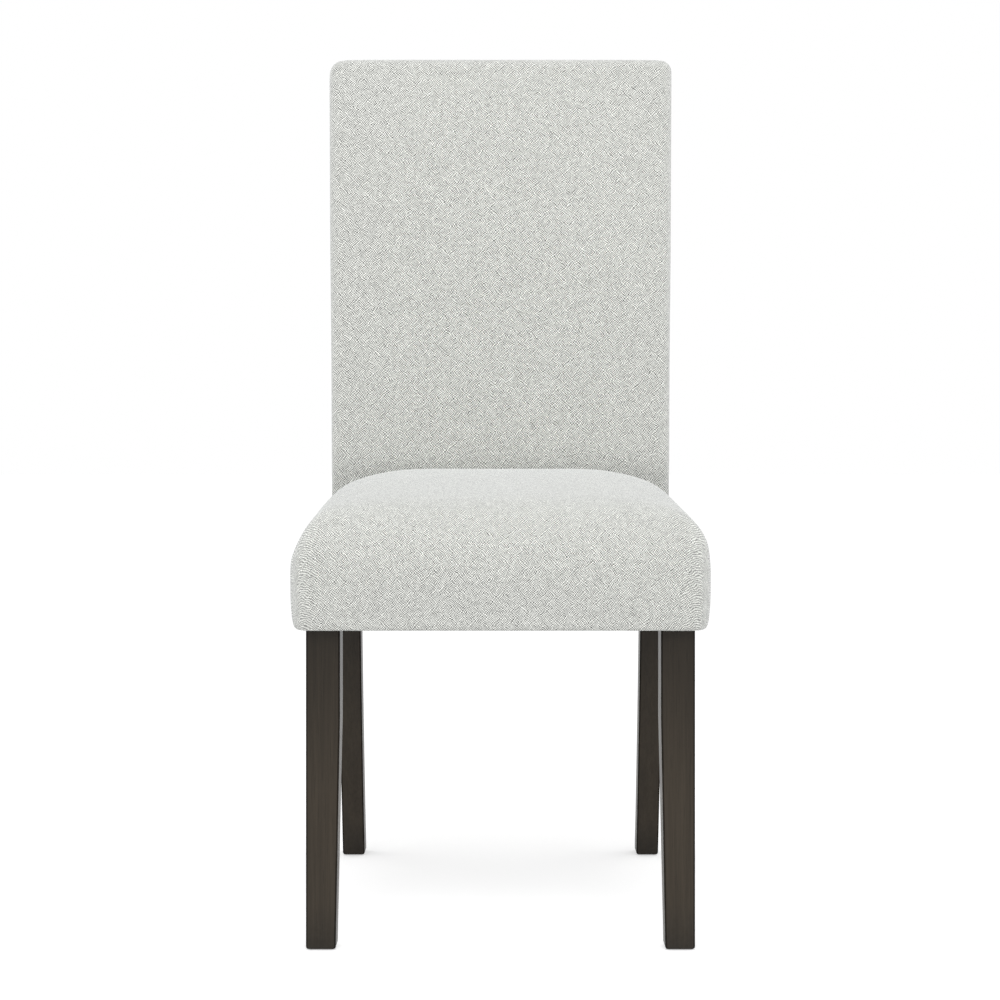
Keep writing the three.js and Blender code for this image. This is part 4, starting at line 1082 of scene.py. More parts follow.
@dataclass
class SeatUpholstery(PaddedBody):
    """Seat: one cover over a crowned pad, rolled at the front and sides and turned under at the hem."""

    wall_profile: tuple[Plan, ...] = (
        (0.0, 403.0), (0.05, 394.0), (0.1, 385.0), (0.2, 376.5), (0.4, 368.5), (0.85, 361.0), (1.45, 355.0),
        (2.0, 350.0), (2.7, 346.4), (3.5, 343.6), (4.6, 341.4), (6.4, 339.9), (8.8, 339.15),
    )
    hem_reach: float = 22
    hem_rows: int = 3
    hem_level: float = 339.0
    front_hem_share: float = 0.4
    rear_hem_share: float = 0.25
    rear_hem_start: float = 260
    rear_turn: float = 2.6
    rear_dip: float = 7
    rear_dip_reach: float = 36
    cloth_gap: float = 1.5
    side_hold: float = 0.75
    side_reach: float = 52
    shoulder_drift: float = 2.4
    shoulder_range: tuple[float, float, float, float] = (414, 432, 446, 478)
    room_inset: float = 9
    room_corner: float = 17
    room_top: float = 406.2
    leg_front: float = 12
    leg_rear: float = 56
    leg_inner: float = 170
    leg_outer: float = 206
    leg_clearance: float = 0.4

    def turned_in(self, depth: float) -> float:
        """Gives how far the cover is turned in where it meets the back."""
        past = min(max(depth - (self.rows[-1] - self.rear_turn), 0), self.rear_turn)
        return self.rear_turn - math.sqrt(self.rear_turn ** 2 - past ** 2)

    def outer_face(self, station: Station, along: float) -> Vector:
        """Gives a point of the seat top."""
        aside = station.fixed + station.share * (self.lines.seat_half(along) - self.lines.seat_roll_reach)
        inset = min(aside, along)
        aside, depth = round_corner(aside, along, self.radius)
        turned = self.turned_in(depth)
        x = station.side * (self.lines.seat_half(depth) - aside - turned * (1 - station.share))
        dip = max((depth - self.rows[-1] + self.rear_dip_reach) / self.rear_dip_reach, 0)
        height = self.lines.seat_top(x, depth, inset) - self.rear_dip * dip * dip - turned * 0.6
        return place(x + self.drift(height), depth, height)

    def drift(self, height: float) -> float:
        """Gives how far the hand-pulled cover leans to the right at a height, most on the shoulders."""
        low, full, still, end = self.shoulder_range
        share = min(max((height - low) / (full - low), 0), 1) * min(max((end - height) / (end - still), 0), 1)
        return self.shoulder_drift * share * share * (3 - 2 * share)

    def inner_face(self, station: Station, along: float) -> Vector:
        """Gives a point over the platform cloth, under the foam."""
        return self.room_point(station, along, self.room_top)

    def room_point(self, station: Station, along: float, height: float) -> Vector:
        """Gives a point on the inner side of the padding."""
        half = self.lines.seat_half(along)
        aside = (station.fixed + station.share * (half - self.lines.seat_roll_reach)) * (1 - self.room_inset / half)
        inward = along * (1 - self.room_inset / self.rows[-1])
        aside, inward = round_corner(aside, inward, self.room_corner)
        depth = inward + self.room_inset
        return place(station.side * (self.lines.seat_half(depth) - self.room_inset - aside), depth, height)

    def wall_rows(self) -> int:
        """Gives the number of rows of the walls and the hem."""
        return len(self.wall_profile) - 1 + self.hem_rows

    def edge_place(self, station: Station, along: float, inset: float) -> Plan:
        """Gives a place in plan at an inset from the edge of the seat.

        Args:
            station: Column on the edge.
            along: Row on the edge.
            inset: How far in the place lies.

        Returns:
            Where it is across the seat and in depth.
        """
        out_x, out_y = edge_direction(station.fixed, along, self.radius)
        aside, depth = round_corner(
            station.fixed + station.share * (self.lines.seat_half(along) - self.lines.seat_roll_reach),
            along, self.radius)
        x = station.side * (self.lines.seat_half(depth) - aside - self.turned_in(depth) - inset * out_x)
        if station.share > 0:
            x = station.side * (self.lines.seat_half(depth) - aside)
        return x, depth + inset * out_y

    def hem_end(self, station: Station, along: float, start: float) -> float:
        """Gives the inset at which the turned-under hem ends, which stops short of a leg."""
        inset = start
        while inset < self.hem_reach:
            x, depth = self.edge_place(station, along, inset + 0.25)
            beside = self.leg_inner - self.leg_clearance < abs(x) < self.leg_outer + self.leg_clearance
            if beside and self.leg_front - self.leg_clearance < depth < self.leg_rear + self.leg_clearance:
                break
            inset += 0.25
        return inset

    def wall_inset(self, station: Station, row: int, along: float) -> float:
        """Gives how far the wall is drawn in, which is less in front and towards the back."""
        rear = min(max((along - self.rear_hem_start) / (self.rows[-1] - self.rear_hem_start), 0), 1)
        ahead = edge_direction(station.fixed, along, self.radius)[1]
        return (self.wall_profile[row][0] * between(1, self.rear_hem_share, rear)
                * between(1, self.front_hem_share, ahead * ahead))

    def outer_wall(self, station: Station, along: float, row: int) -> Vector:
        """Gives a point of the wall or of the hem under it."""
        last = len(self.wall_profile) - 1
        inset = self.wall_inset(station, min(row, last), along)
        if row <= last:
            return place(*self.edge_place(station, along, inset), self.wall_profile[row][1])
        share = (row - last) / self.hem_rows
        inset = between(inset, self.hem_end(station, along, inset + 0.05), share)
        return place(*self.edge_place(station, along, inset), self.hem_level)

    def inner_wall(self, station: Station, along: float, row: int) -> Vector:
        """Gives a point of the padding's inner side, or of the upper side of the hem."""
        last = len(self.wall_profile) - 1
        if row < last:
            low = self.hem_level + 2 * self.cloth_gap
            return self.room_point(station, along, between(self.room_top, low, row / (last - 1)))
        point = self.outer_wall(station, along, row)
        if row == last:
            point = self.room_point(station, along, 0.0)
        point.z = (self.hem_level + self.cloth_gap) / METRE
        return point

    def held_points(self, piece: bpy.types.Object) -> np.ndarray:
        """Holds the inner side, the hem, the rolled sides and the joint with the back."""
        points = np.array([tuple(vertex.co) for vertex in piece.data.vertices]) * METRE
        count = len(points)
        held = np.zeros(count)
        held[count // 2:] = 1
        depths = points[:, 1] - SEAT_FRONT
        aside = np.array([self.lines.seat_half(depth) for depth in depths]) - np.abs(points[:, 0])
        held = np.maximum(held, self.side_hold * np.clip((self.side_reach - aside) / 16, 0, 1))
        held = np.maximum(held, np.clip((356 - points[:, 2]) / 12, 0, 1))
        return np.maximum(held, np.clip((depths - 380) / 20, 0, 1))


@dataclass
class BackUpholstery(PaddedBody):
    """Back: one cover over the front, sides and top of the padded frame, turned in behind the posts."""

    roll: float = 13
    left_corner: float = 19.5
    pressed_share: float = 0.1
    pressed_range: tuple[float, float] = (425, 500)
    rear_edge: float = 3
    crown: float = 4
    crown_squareness: float = 4
    crown_foot: float = 504.5
    wall_steps: int = 7
    rear_steps: int = 3
    wrap_rows: int = 2
    wrap: float = 22
    hem_height: float = 34
    hem_inset: float = 3.6
    waist: float = 0.9
    waist_range: tuple[float, float] = (620, 820)
    top_crown: float = 1.5
    top_crown_reach: float = 60
    top_squareness: float = 10
    edge_hold: float = 0.85
    edge_reach: float = 22
    corner_reach: float = 42
    # Heights where the painted shade above the seat is full and where it ends.
    crease_full: float = 500
    crease_top: float = 530
    room_inset: float = 5.2
    room_corner: float = 9
    padding: float = 17.5
    cloth_gap: float = 1.5

    def corner(self, station: Station) -> float:
        """Gives the radius of a top corner, which is a little rounder on the left."""
        return self.left_corner if station.side < 0 else self.radius

    def hem_in(self, height: float) -> float:
        """Gives how far the sides are drawn in near the underside."""
        low = min(max(1 - (height - self.lines.underside) / self.hem_height, 0), 1)
        waist = min(max((self.waist_range[1] - height) / (self.waist_range[1] - self.waist_range[0]), 0), 1)
        return self.hem_inset * low ** 4 + self.waist * waist * waist * (3 - 2 * waist)

    def roll_depth(self, height: float) -> float:
        """Gives how deep the rolled edge is at a height, which is pressed flat beside the seat."""
        low, high = self.pressed_range
        share = min(max((height - low) / (high - low), 0), 1)
        return self.roll * between(self.pressed_share, 1, share * share * (3 - 2 * share))

    def raised(self, x: float, height: float) -> float:
        """Gives a height with the soft rise of the padding along the top edge."""
        near = max(1 - (self.lines.overall_height - height) / self.top_crown_reach, 0)
        across = 1 - min(abs(x) / self.lines.back_half(height), 1) ** self.top_squareness
        return height + self.top_crown * near * across

    def outer_face(self, station: Station, along: float) -> Vector:
        """Gives a point of the inside face of the back."""
        height = self.lines.overall_height - along
        aside = station.fixed + station.share * (self.lines.back_half(height) - self.roll)
        inset = min(aside, along)
        aside, inward = round_corner(aside, along, self.corner(station))
        height = self.lines.overall_height - inward
        half = self.lines.back_half(height)
        x = station.side * (half - aside - self.hem_in(height) * (1 - station.share))
        left = max(1 - inset / self.roll, 0)
        edge = self.roll_depth(height) * (1 - math.sqrt(1 - left * left))
        rise = max(height - self.crown_foot, 0) / (self.lines.overall_height - self.crown_foot)
        crown = self.crown * (1 - min(abs(x) / half, 1) ** self.crown_squareness) * math.sin(math.pi * rise)
        return place(x, self.lines.back_face(height) + edge - crown, self.raised(x, height))

    def room_plan(self, station: Station, along: float) -> Plan:
        """Gives where a point of the inner side lies across the back and in height."""
        half = self.lines.back_half(self.lines.overall_height - along)
        length = self.rows[-1]
        aside = (station.fixed + station.share * (half - self.roll)) * (1 - self.room_inset / half)
        inward = along * (1 - self.room_inset / length)
        aside, inward = round_corner(aside, inward, self.room_corner)
        height = self.lines.overall_height - self.room_inset - inward
        return station.side * (self.lines.back_half(height) - self.room_inset - aside), height

    def inner_face(self, station: Station, along: float) -> Vector:
        """Gives a point of the padding's inner side, in front of the cloth on the frame."""
        x, height = self.room_plan(station, along)
        return place(x, self.lines.back_face(height) + self.padding, height)

    def wall_rows(self) -> int:
        """Gives the number of rows of the walls, their rear edge and the turned-in cover."""
        return self.wall_steps + self.rear_steps + self.wrap_rows

    def edge_plan(self, station: Station, along: float, inset: float) -> Plan:
        """Gives where a point at an inset from the edge lies across the back and in height.

        Args:
            station: Column on the edge.
            along: Row on the edge.
            inset: How far in the point lies.

        Returns:
            Where it is across the back, and its height.
        """
        aside = station.fixed + station.share * (self.lines.back_half(self.lines.overall_height - along) - self.roll)
        out_x, out_up = edge_direction(aside, along, self.corner(station))
        aside, inward = round_corner(aside, along, self.corner(station))
        height = self.lines.overall_height - inward - inset * out_up
        half = self.lines.back_half(height) - (self.hem_in(height) if station.share == 0 else 0)
        return station.side * (half - aside - inset * out_x), height

    def outer_wall(self, station: Station, along: float, row: int) -> Vector:
        """Gives a point of the side, the top, the rear edge or the turned-in cover."""
        if row <= self.wall_steps:
            x, height = self.edge_plan(station, along, 0)
            front = self.lines.back_face(height) + self.roll_depth(height)
            rear = self.lines.cover_rear(height) - self.rear_edge
            return place(x, between(front, rear, row / self.wall_steps), self.raised(x, height))
        turned = row - self.wall_steps
        if turned <= self.rear_steps:
            angle = math.pi / 2 * turned / self.rear_steps
            x, height = self.edge_plan(station, along, self.rear_edge * (1 - math.cos(angle)))
            depth = self.lines.cover_rear(height) - self.rear_edge * (1 - math.sin(angle))
            return place(x, depth, self.raised(x, height))
        share = (turned - self.rear_steps) / self.wrap_rows
        x, height = self.edge_plan(station, along, between(self.rear_edge, self.wrap, share))
        return place(x, self.lines.cover_rear(height), height)

    def inner_wall(self, station: Station, along: float, row: int) -> Vector:
        """Gives a point of the padding's inner side beside the posts, or of the turned-in cover."""
        last = self.wall_steps + self.rear_steps
        if row <= last:
            x, height = self.room_plan(station, along)
            front = self.lines.back_face(height) + self.padding
            return place(x, between(front, self.lines.cover_rear(height) - self.cloth_gap, row / last), height)
        share = (row - last) / self.wrap_rows
        x, height = self.edge_plan(station, along, between(self.room_inset + 0.5, self.wrap, share))
        return place(x, self.lines.cover_rear(height) - self.cloth_gap, height)

    def crease(self, point: Vector) -> float:
        """Gives the share of painted shade at a point just above the seat, 0 to 1."""
        height, depth = point.z * METRE, point.y * METRE - SEAT_FRONT
        share = min(max((self.crease_top - height) / (self.crease_top - self.crease_full), 0), 1)
        return share * share if depth < self.lines.back_face(height) + self.roll / 2 else 0.0

    def held_points(self, piece: bpy.types.Object) -> np.ndarray:
        """Holds the inner side, the rear edge, the hem, the part behind the seat and the rolled edges."""
        points = np.array([tuple(vertex.co) for vertex in piece.data.vertices]) * METRE
        count = len(points)
        held = np.zeros(count)
        held[count // 2:] = 1
        rears = np.array([self.lines.cover_rear(height) for height in points[:, 2]]) + SEAT_FRONT
        held = np.maximum(held, np.clip((points[:, 1] - rears + 14) / 8, 0, 1))
        aside = np.array([self.lines.back_half(height) for height in points[:, 2]]) - np.abs(points[:, 0])
        inward = self.lines.overall_height - points[:, 2]
        edge = np.minimum(aside, inward)
        held = np.maximum(held, self.edge_hold * np.clip((self.edge_reach - edge) / 10, 0, 1))
        corner = np.hypot(np.maximum(aside, 0), np.maximum(inward, 0))
        held = np.maximum(held, np.clip((self.corner_reach - corner) / 16, 0, 1))
        return np.maximum(held, np.clip((505 - points[:, 2]) / 20, 0, 1))


@dataclass
class OutsidePanel:
    """Outside back: cloth drawn over a stiff board, rolled at its edges and sewn to the cover."""

    lines: ChairLines
    name: str = "outside_back_cloth"
    edge_inset: float = 4
    top: float = 1016
    roll: float = 4
    roll_steps: int = 4
    stand: float = 3.4
    seat_on_cover: float = 0.25
    lining: float = 1.8
    lining_start: float = 2.2
    corner: float = 9
    columns: int = 40
    row_step: float = 9.5
    thread_stretch: float = 1.2
    ripple: float = 0.25

    def face_point(self, station: Station, along: float, outer: bool) -> Vector:
        """Gives a point of the panel's outer or inner side.

        Args:
            station: Column of the point.
            along: Distance of its row below the top of the panel.
            outer: Whether the point is on the side that shows.

        Returns:
            The point.
        """
        half = self.lines.back_half(self.top - along) - self.edge_inset
        aside = station.fixed + station.share * (half - self.roll)
        inset = min(aside, along)
        aside, inward = round_corner(aside, along, self.corner)
        height = self.top - inward
        x = station.side * (self.lines.back_half(height) - self.edge_inset - aside)
        left = 1 - min(inset / self.roll, 1)
        lift = between(self.seat_on_cover, self.stand, math.sqrt(1 - left * left))
        if outer:
            lift += self.ripple * math.sin(height / 61 + x / 140) * math.sin(x / 75 + 0.6) * (inset > self.roll)
        else:
            lift = self.lining if inset > self.lining_start else self.seat_on_cover - 0.15
        return place(x, self.lines.cover_rear(height) + lift, height)

    def make(self) -> bpy.types.Object:
        """Makes the panel as a closed sheet.

        Returns:
            The piece.
        """
        stations = across_stations(self.roll, self.roll_steps, self.columns // 2)
        length = self.top - self.lines.underside
        rows = end_stations(self.roll, self.roll_steps, length, self.row_step)
        wide, deep = len(stations), len(rows)
        points = [self.face_point(station, along, outer) for outer in (True, False)
                  for along in rows for station in stations]
        count = wide * deep
        quads = [(row * wide + column, row * wide + column + 1, (row + 1) * wide + column + 1,
                  (row + 1) * wide + column) for row in range(deep - 1) for column in range(wide - 1)]
        rim = list(range(wide)) + [row * wide + wide - 1 for row in range(1, deep)]
        rim += [(deep - 1) * wide + column for column in range(wide - 2, -1, -1)]
        rim += [row * wide for row in range(deep - 2, 0, -1)]
        faces = quads + [tuple(index + count for index in reversed(quad)) for quad in quads]
        faces += [(one, two, two + count, one + count) for one, two in zip(rim, rim[1:] + rim[:1])]
        mesh = bpy.data.meshes.new(self.name)
        mesh.from_pydata([tuple(point) for point in points], [], faces)
        layer = mesh.uv_layers.new(name="threads")
        for loop in mesh.loops:
            point = points[loop.vertex_index]
            layer.data[loop.index].uv = (point.x / self.thread_stretch, point.z / self.thread_stretch)
        turn_outwards(mesh)
        piece = make_object(self.name, mesh)
        set_out(piece, Slot.COVER, ("outside_back_panel",))
        width = 2 * (self.lines.back_half((self.top + self.lines.underside) / 2) - self.edge_inset)
        return piece

    def seam_path(self) -> list[tuple[Vector, Vector]]:
        """Gives the line of sewing round the sides and top, with the way out from the cloth at each point."""
        half = [(side, along) for side, along in
                ((-1, self.top - self.lines.underside - step) for step in np.arange(4, 663, 6))]
        path = []
        for side, along in half:
            height = self.top - along
            if along > self.corner:
                path.append((side * (self.lines.back_half(height) - self.edge_inset), height))
        arc = [math.pi / 2 * k / 6 for k in range(7)]
        centre = self.lines.back_half(self.top - self.corner) - self.edge_inset - self.corner
        path += [(-centre - self.corner * math.cos(turn), self.top - self.corner + self.corner * math.sin(turn))
                 for turn in arc]
        path += [(x, self.top) for x in np.arange(-centre + 6, 0.1, 6)]
        path += [(-x, height) for x, height in reversed(path[:-1])]
        return [(place(x, self.lines.cover_rear(height) + 0.5, height), Vector((0, 1, 0))) for x, height in path]


# Sewing and staples


@dataclass(frozen=True)
class StitchRow:
    """Geometry Nodes tree that lays one stitch or staple after another along a path."""

    title: str
    spacing: float
    length: float
    rise: float
    thickness: float
    sides: int = 6
    unevenness: float = 0.12
    seed: int = 4

    def tree(self) -> bpy.types.NodeTree:
        """Builds the tree: points along the path, a bent thread on each, turned to the path and the cloth.

        Returns:
            The node tree.
        """
        tree = bpy.data.node_groups.new(self.title, "GeometryNodeTree")
        faces = tree.interface
        faces.new_socket(name="Path", in_out="INPUT", socket_type="NodeSocketGeometry")
        for name in ("Spacing", "Length", "Rise", "Thickness", "Unevenness"):
            faces.new_socket(name=name, in_out="INPUT", socket_type="NodeSocketFloat")
        faces.new_socket(name="Sides", in_out="INPUT", socket_type="NodeSocketInt")
        faces.new_socket(name="Seed", in_out="INPUT", socket_type="NodeSocketInt")
        faces.new_socket(name="Material", in_out="INPUT", socket_type="NodeSocketMaterial")
        faces.new_socket(name="Stitches", in_out="OUTPUT", socket_type="NodeSocketGeometry")
        wiring = Wiring(tree)
        given = tree.nodes.new("NodeGroupInput").outputs
        path = wiring.add("GeometryNodeMeshToCurve", {"Mesh": given["Path"]}).outputs[0]
        spaced = wiring.add("GeometryNodeResampleCurve", {"Curve": path, "Length": given["Spacing"]}, mode="LENGTH")
        half = wiring.math("MULTIPLY", given["Length"], 0.5)
        start = wiring.add("ShaderNodeCombineXYZ", {0: wiring.math("MULTIPLY", half, -1.0)}).outputs[0]
        end = wiring.add("ShaderNodeCombineXYZ", {0: half}).outputs[0]
        crest = wiring.add("ShaderNodeCombineXYZ", {2: wiring.math("MULTIPLY", given["Rise"], 2.0)}).outputs[0]
        bow = wiring.add("GeometryNodeCurveQuadraticBezier",
                         {"Resolution": 5, "Start": start, "Middle": crest, "End": end}).outputs[0]
        radius = wiring.math("MULTIPLY", given["Thickness"], 0.5)
        round_wire = wiring.add("GeometryNodeCurvePrimitiveCircle", {"Resolution": given["Sides"], "Radius": radius})
        thread = wiring.add("GeometryNodeCurveToMesh", {"Curve": bow, "Profile Curve": round_wire.outputs[0],
                                                        "Fill Caps": True}).outputs[0]
        along = wiring.add("GeometryNodeInputTangent").outputs[0]
        turn = wiring.add("FunctionNodeAlignRotationToVector", {"Vector": along}, axis="X").outputs[0]
        out = wiring.add("GeometryNodeInputNamedAttribute", {"Name": "outward"}, data_type="FLOAT_VECTOR").outputs[0]
        turn = wiring.add("FunctionNodeAlignRotationToVector", {"Rotation": turn, "Vector": out},
                          axis="Z", pivot_axis="X").outputs[0]
        least = wiring.math("SUBTRACT", 1.0, given["Unevenness"])
        most = wiring.math("ADD", 1.0, given["Unevenness"])
        size = wiring.add("FunctionNodeRandomValue", {2: least, 3: most, "Seed": given["Seed"]}, data_type="FLOAT")
        laid = wiring.add("GeometryNodeInstanceOnPoints", {
            "Points": spaced.outputs[0], "Instance": thread, "Rotation": turn, "Scale": size.outputs[1]})
        real = wiring.add("GeometryNodeRealizeInstances", {0: laid.outputs[0]}).outputs[0]
        dressed = wiring.add("GeometryNodeSetMaterial", {"Geometry": real, "Material": given["Material"]}).outputs[0]
        finish = tree.nodes.new("NodeGroupOutput")
        tree.links.new(dressed, finish.inputs["Stitches"])
        return tree

    def lay(self, name: str, path: Sequence[tuple[Vector, Vector]], slot: Slot) -> bpy.types.Object:
        """Lays the row along a path and gives it as a plain mesh.

        Args:
            name: Name of the piece.
            path: Points of the path, each with the way out from the cloth.
            slot: Material slot of the stitches.

        Returns:
            The piece.
        """
        mesh = bpy.data.meshes.new(f"{name}_path")
        mesh.from_pydata([tuple(point) for point, _ in path], [(k, k + 1) for k in range(len(path) - 1)], [])
        outward = mesh.attributes.new("outward", "FLOAT_VECTOR", "POINT")
        outward.data.foreach_set("vector", [part for _, way in path for part in way])
        carrier = bpy.data.objects.new(f"{name}_path", mesh)
        bpy.context.scene.collection.objects.link(carrier)
        modifier = carrier.modifiers.new("row", "NODES")
        modifier.node_group = self.tree()
        values = {
            "Spacing": self.spacing / METRE, "Length": self.length / METRE, "Rise": self.rise / METRE,
            "Thickness": self.thickness / METRE, "Unevenness": self.unevenness, "Sides": self.sides,
            "Seed": self.seed, "Material": FINISHES[slot].material(),
        }
        for item in modifier.node_group.interface.items_tree:
            if item.in_out == "INPUT" and item.name in values:
                modifier[item.identifier] = values[item.name]
        shaped = carrier.evaluated_get(bpy.context.evaluated_depsgraph_get())
        plain = bpy.data.meshes.new_from_object(shaped)
        carrier.modifiers.remove(modifier)
        bpy.data.objects.remove(carrier)
        plain.name = name
        for attribute in [item.name for item in plain.attributes if item.name == "outward"]:
            plain.attributes.remove(plain.attributes[attribute])
        piece = make_object(name, plain)
        set_out(piece, slot)
        return piece


# Legs and glides


@dataclass(frozen=True)
class LegSection:
    """Level section of a leg: its four faces."""

    inner: float
    outer: float
    front: float
    rear: float


@dataclass
class Legs:
    """Four wooden legs with softened arrises: straight tapered ones in front and swept posts behind."""

    lines: ChairLines
    front_outer: float = 206
    front_width: float = 36
    front_foot_width: float = 31.5
    front_face: float = 12
    front_depth: float = 44
    front_foot_depth: float = 31
    taper_height: float = 245
    front_top: float = 400.9
    post_top: float = 1006
    glide_proud: float = 0.8
    foot_rounding: float = 3.4
    foot_turns: int = 6
    arris: float = 1.5
    arris_steps: int = 4
    arris_edge: float = 0.6
    ring_step: float = 9

    def front_section(self, height: float) -> LegSection:
        """Gives the section of the right-hand front leg, tapered on its inner and rear faces."""
        share = min(height / self.taper_height, 1)
        return LegSection(self.front_outer - between(self.front_foot_width, self.front_width, share), self.front_outer,
                          self.front_face, self.front_face + between(self.front_foot_depth, self.front_depth, share))

    def post_section(self, height: float) -> LegSection:
        """Gives the section of the right-hand rear post."""
        outer = self.lines.post_outer(height)
        return LegSection(outer - self.lines.post_width, outer, self.lines.post_front(height),
                          self.lines.post_rear(height))

    def ring(self, section: LegSection, height: float, shrink: float, side: Side) -> list[tuple[Vector, float]]:
        """Gives one ring of a leg.

        Args:
            section: Faces of the leg at this height.
            height: Height of the ring.
            shrink: How far the ring lies inside the faces.
            side: Which side of the chair the leg is on.

        Returns:
            Points of the ring, each with 1 where it lies on an arris and 0 beside it.
        """
        points = []
        corners = ((section.outer, section.rear, 0), (section.inner, section.rear, 1),
                   (section.inner, section.front, 2), (section.outer, section.front, 3))
        for x, depth, quarter in corners:
            centre_x = x + (self.arris + shrink) * (-1 if quarter in (0, 3) else 1)
            centre_y = depth + (self.arris + shrink) * (-1 if quarter in (0, 1) else 1)
            for k in range(-1, self.arris_steps + 2):
                bent = min(max(k, 0), self.arris_steps)
                turn = math.pi / 2 * (quarter + bent / self.arris_steps)
                beside = self.arris_edge * (k - bent)
                points.append((place(
                    side.value * (centre_x + self.arris * math.cos(turn) - beside * math.sin(turn)),
                    centre_y + self.arris * math.sin(turn) + beside * math.cos(turn), height), float(k == bent)))
        return points

    def leg(self, name: str, section_at: Callable[[float], LegSection], top: float, side: Side) -> bpy.types.Object:
        """Makes one leg.

        Args:
            name: Name of the piece, and of the node with the same end that it replaces.
            section_at: Gives the section at a height.
            top: Height of the top end.
            side: Which side of the chair the leg is on.

        Returns:
            The piece.
        """
        rings = []
        for k in range(self.foot_turns + 1):
            turn = math.pi / 2 * k / self.foot_turns
            height = self.glide_proud + self.foot_rounding * (1 - math.cos(turn))
            rings.append(self.ring(section_at(height), height, self.foot_rounding * (1 - math.sin(turn)), side))
        foot_end = self.glide_proud + self.foot_rounding
        steps = round((top - foot_end) / self.ring_step)
        for k in range(1, steps + 1):
            height = between(foot_end, top, k / steps)
            rings.append(self.ring(section_at(height), height, 0, side))
        size = len(rings[0])
        faces = [(k * size + i, k * size + (i + 1) % size, (k + 1) * size + (i + 1) % size, (k + 1) * size + i)
                 for k in range(len(rings) - 1) for i in range(size)]
        faces += [tuple(range(size))[::-1], tuple(range((len(rings) - 1) * size, len(rings) * size))]
        mesh = bpy.data.meshes.new(name)
        mesh.from_pydata([tuple(point) for ring in rings for point, _ in ring], [], faces)
        # Marks the arrises, where the wood's material paints shade.
        marks = mesh.attributes.new("arris", "FLOAT", "POINT")
        marks.data.foreach_set("value", [mark for ring in rings for _, mark in ring])
        turn_outwards(mesh)
        piece = make_object(name, mesh)
        for polygon in piece.data.polygons[-2:]:
            polygon.use_smooth = False
        set_out(piece, Slot.LEG_WOOD, (name.removesuffix("_wood"),))
        return piece

    def make(self) -> list[bpy.types.Object]:
        """Makes the four legs.

        Returns:
            The pieces.
        """
        pieces = []
        for side in Side:
            pieces.append(self.leg(f"front_leg_{side.word}_wood", self.front_section, self.front_top, side))
            pieces.append(self.leg(f"rear_leg_{side.word}_wood", self.post_section, self.post_top, side))
        return pieces


@dataclass
class Glides:
    """Nylon glides nailed under the feet."""

    front_place: Plan = (190.25, 27.5)
    rear_place: Plan = (191.5, 545)
    radius: float = 8
    thickness: float = 3.2
    bevel: float = 1.0
    nail_radius: float = 1.3
    nail_top: float = 17.2
    segments: int = 40

    def profile(self) -> list[Plan]:
        """Gives the radius and height of each ring from the floor up."""
        turned = [(self.radius - self.bevel * (1 - math.sin(turn)), self.bevel * (1 - math.cos(turn)))
                  for turn in (math.pi / 2 * k / 4 for k in range(5))]
        rim = [(self.radius, self.thickness - 0.5), (self.radius - 0.5, self.thickness)]
        return [(2.4, 0.35), (3.4, 0.0), *turned, *rim, (self.nail_radius, self.thickness),
                (self.nail_radius, self.nail_top - 3), (0.25, self.nail_top)]

    def glide(self, name: str, centre: Plan, side: Side) -> bpy.types.Object:
        """Makes one glide.

        Args:
            name: Name of the piece.
            centre: Its place in plan on the right-hand side.
            side: Which side of the chair it is on.

        Returns:
            The piece.
        """
        profile = self.profile()
        points = [place(side.value * centre[0], centre[1], 0.35)]
        for radius, height in profile:
            for k in range(self.segments):
                turn = 2 * math.pi * k / self.segments
                points.append(place(side.value * centre[0] + radius * math.cos(turn),
                                    centre[1] + radius * math.sin(turn), height))
        points.append(place(side.value * centre[0], centre[1], self.nail_top))
        around, last = self.segments, len(points) - 1
        faces = [(0, 1 + (k + 1) % around, 1 + k) for k in range(around)]
        for ring in range(len(profile) - 1):
            low = 1 + ring * around
            faces += [(low + k, low + (k + 1) % around, low + around + (k + 1) % around, low + around + k)
                      for k in range(around)]
        high = 1 + (len(profile) - 1) * around
        faces += [(high + k, high + (k + 1) % around, last) for k in range(around)]
        mesh = bpy.data.meshes.new(name)
        mesh.from_pydata([tuple(point) for point in points], [], faces)
        turn_outwards(mesh)
        piece = make_object(name, mesh)
        set_out(piece, Slot.NYLON, (name.removesuffix("_turned"),))
        return piece

    def make(self) -> list[bpy.types.Object]:
        """Makes the four glides.

        Returns:
            The pieces.
        """
        return [self.glide(f"{row}_glide_{side.word}_turned", centre, side)
                for side in Side for row, centre in (("front", self.front_place), ("rear", self.rear_place))]


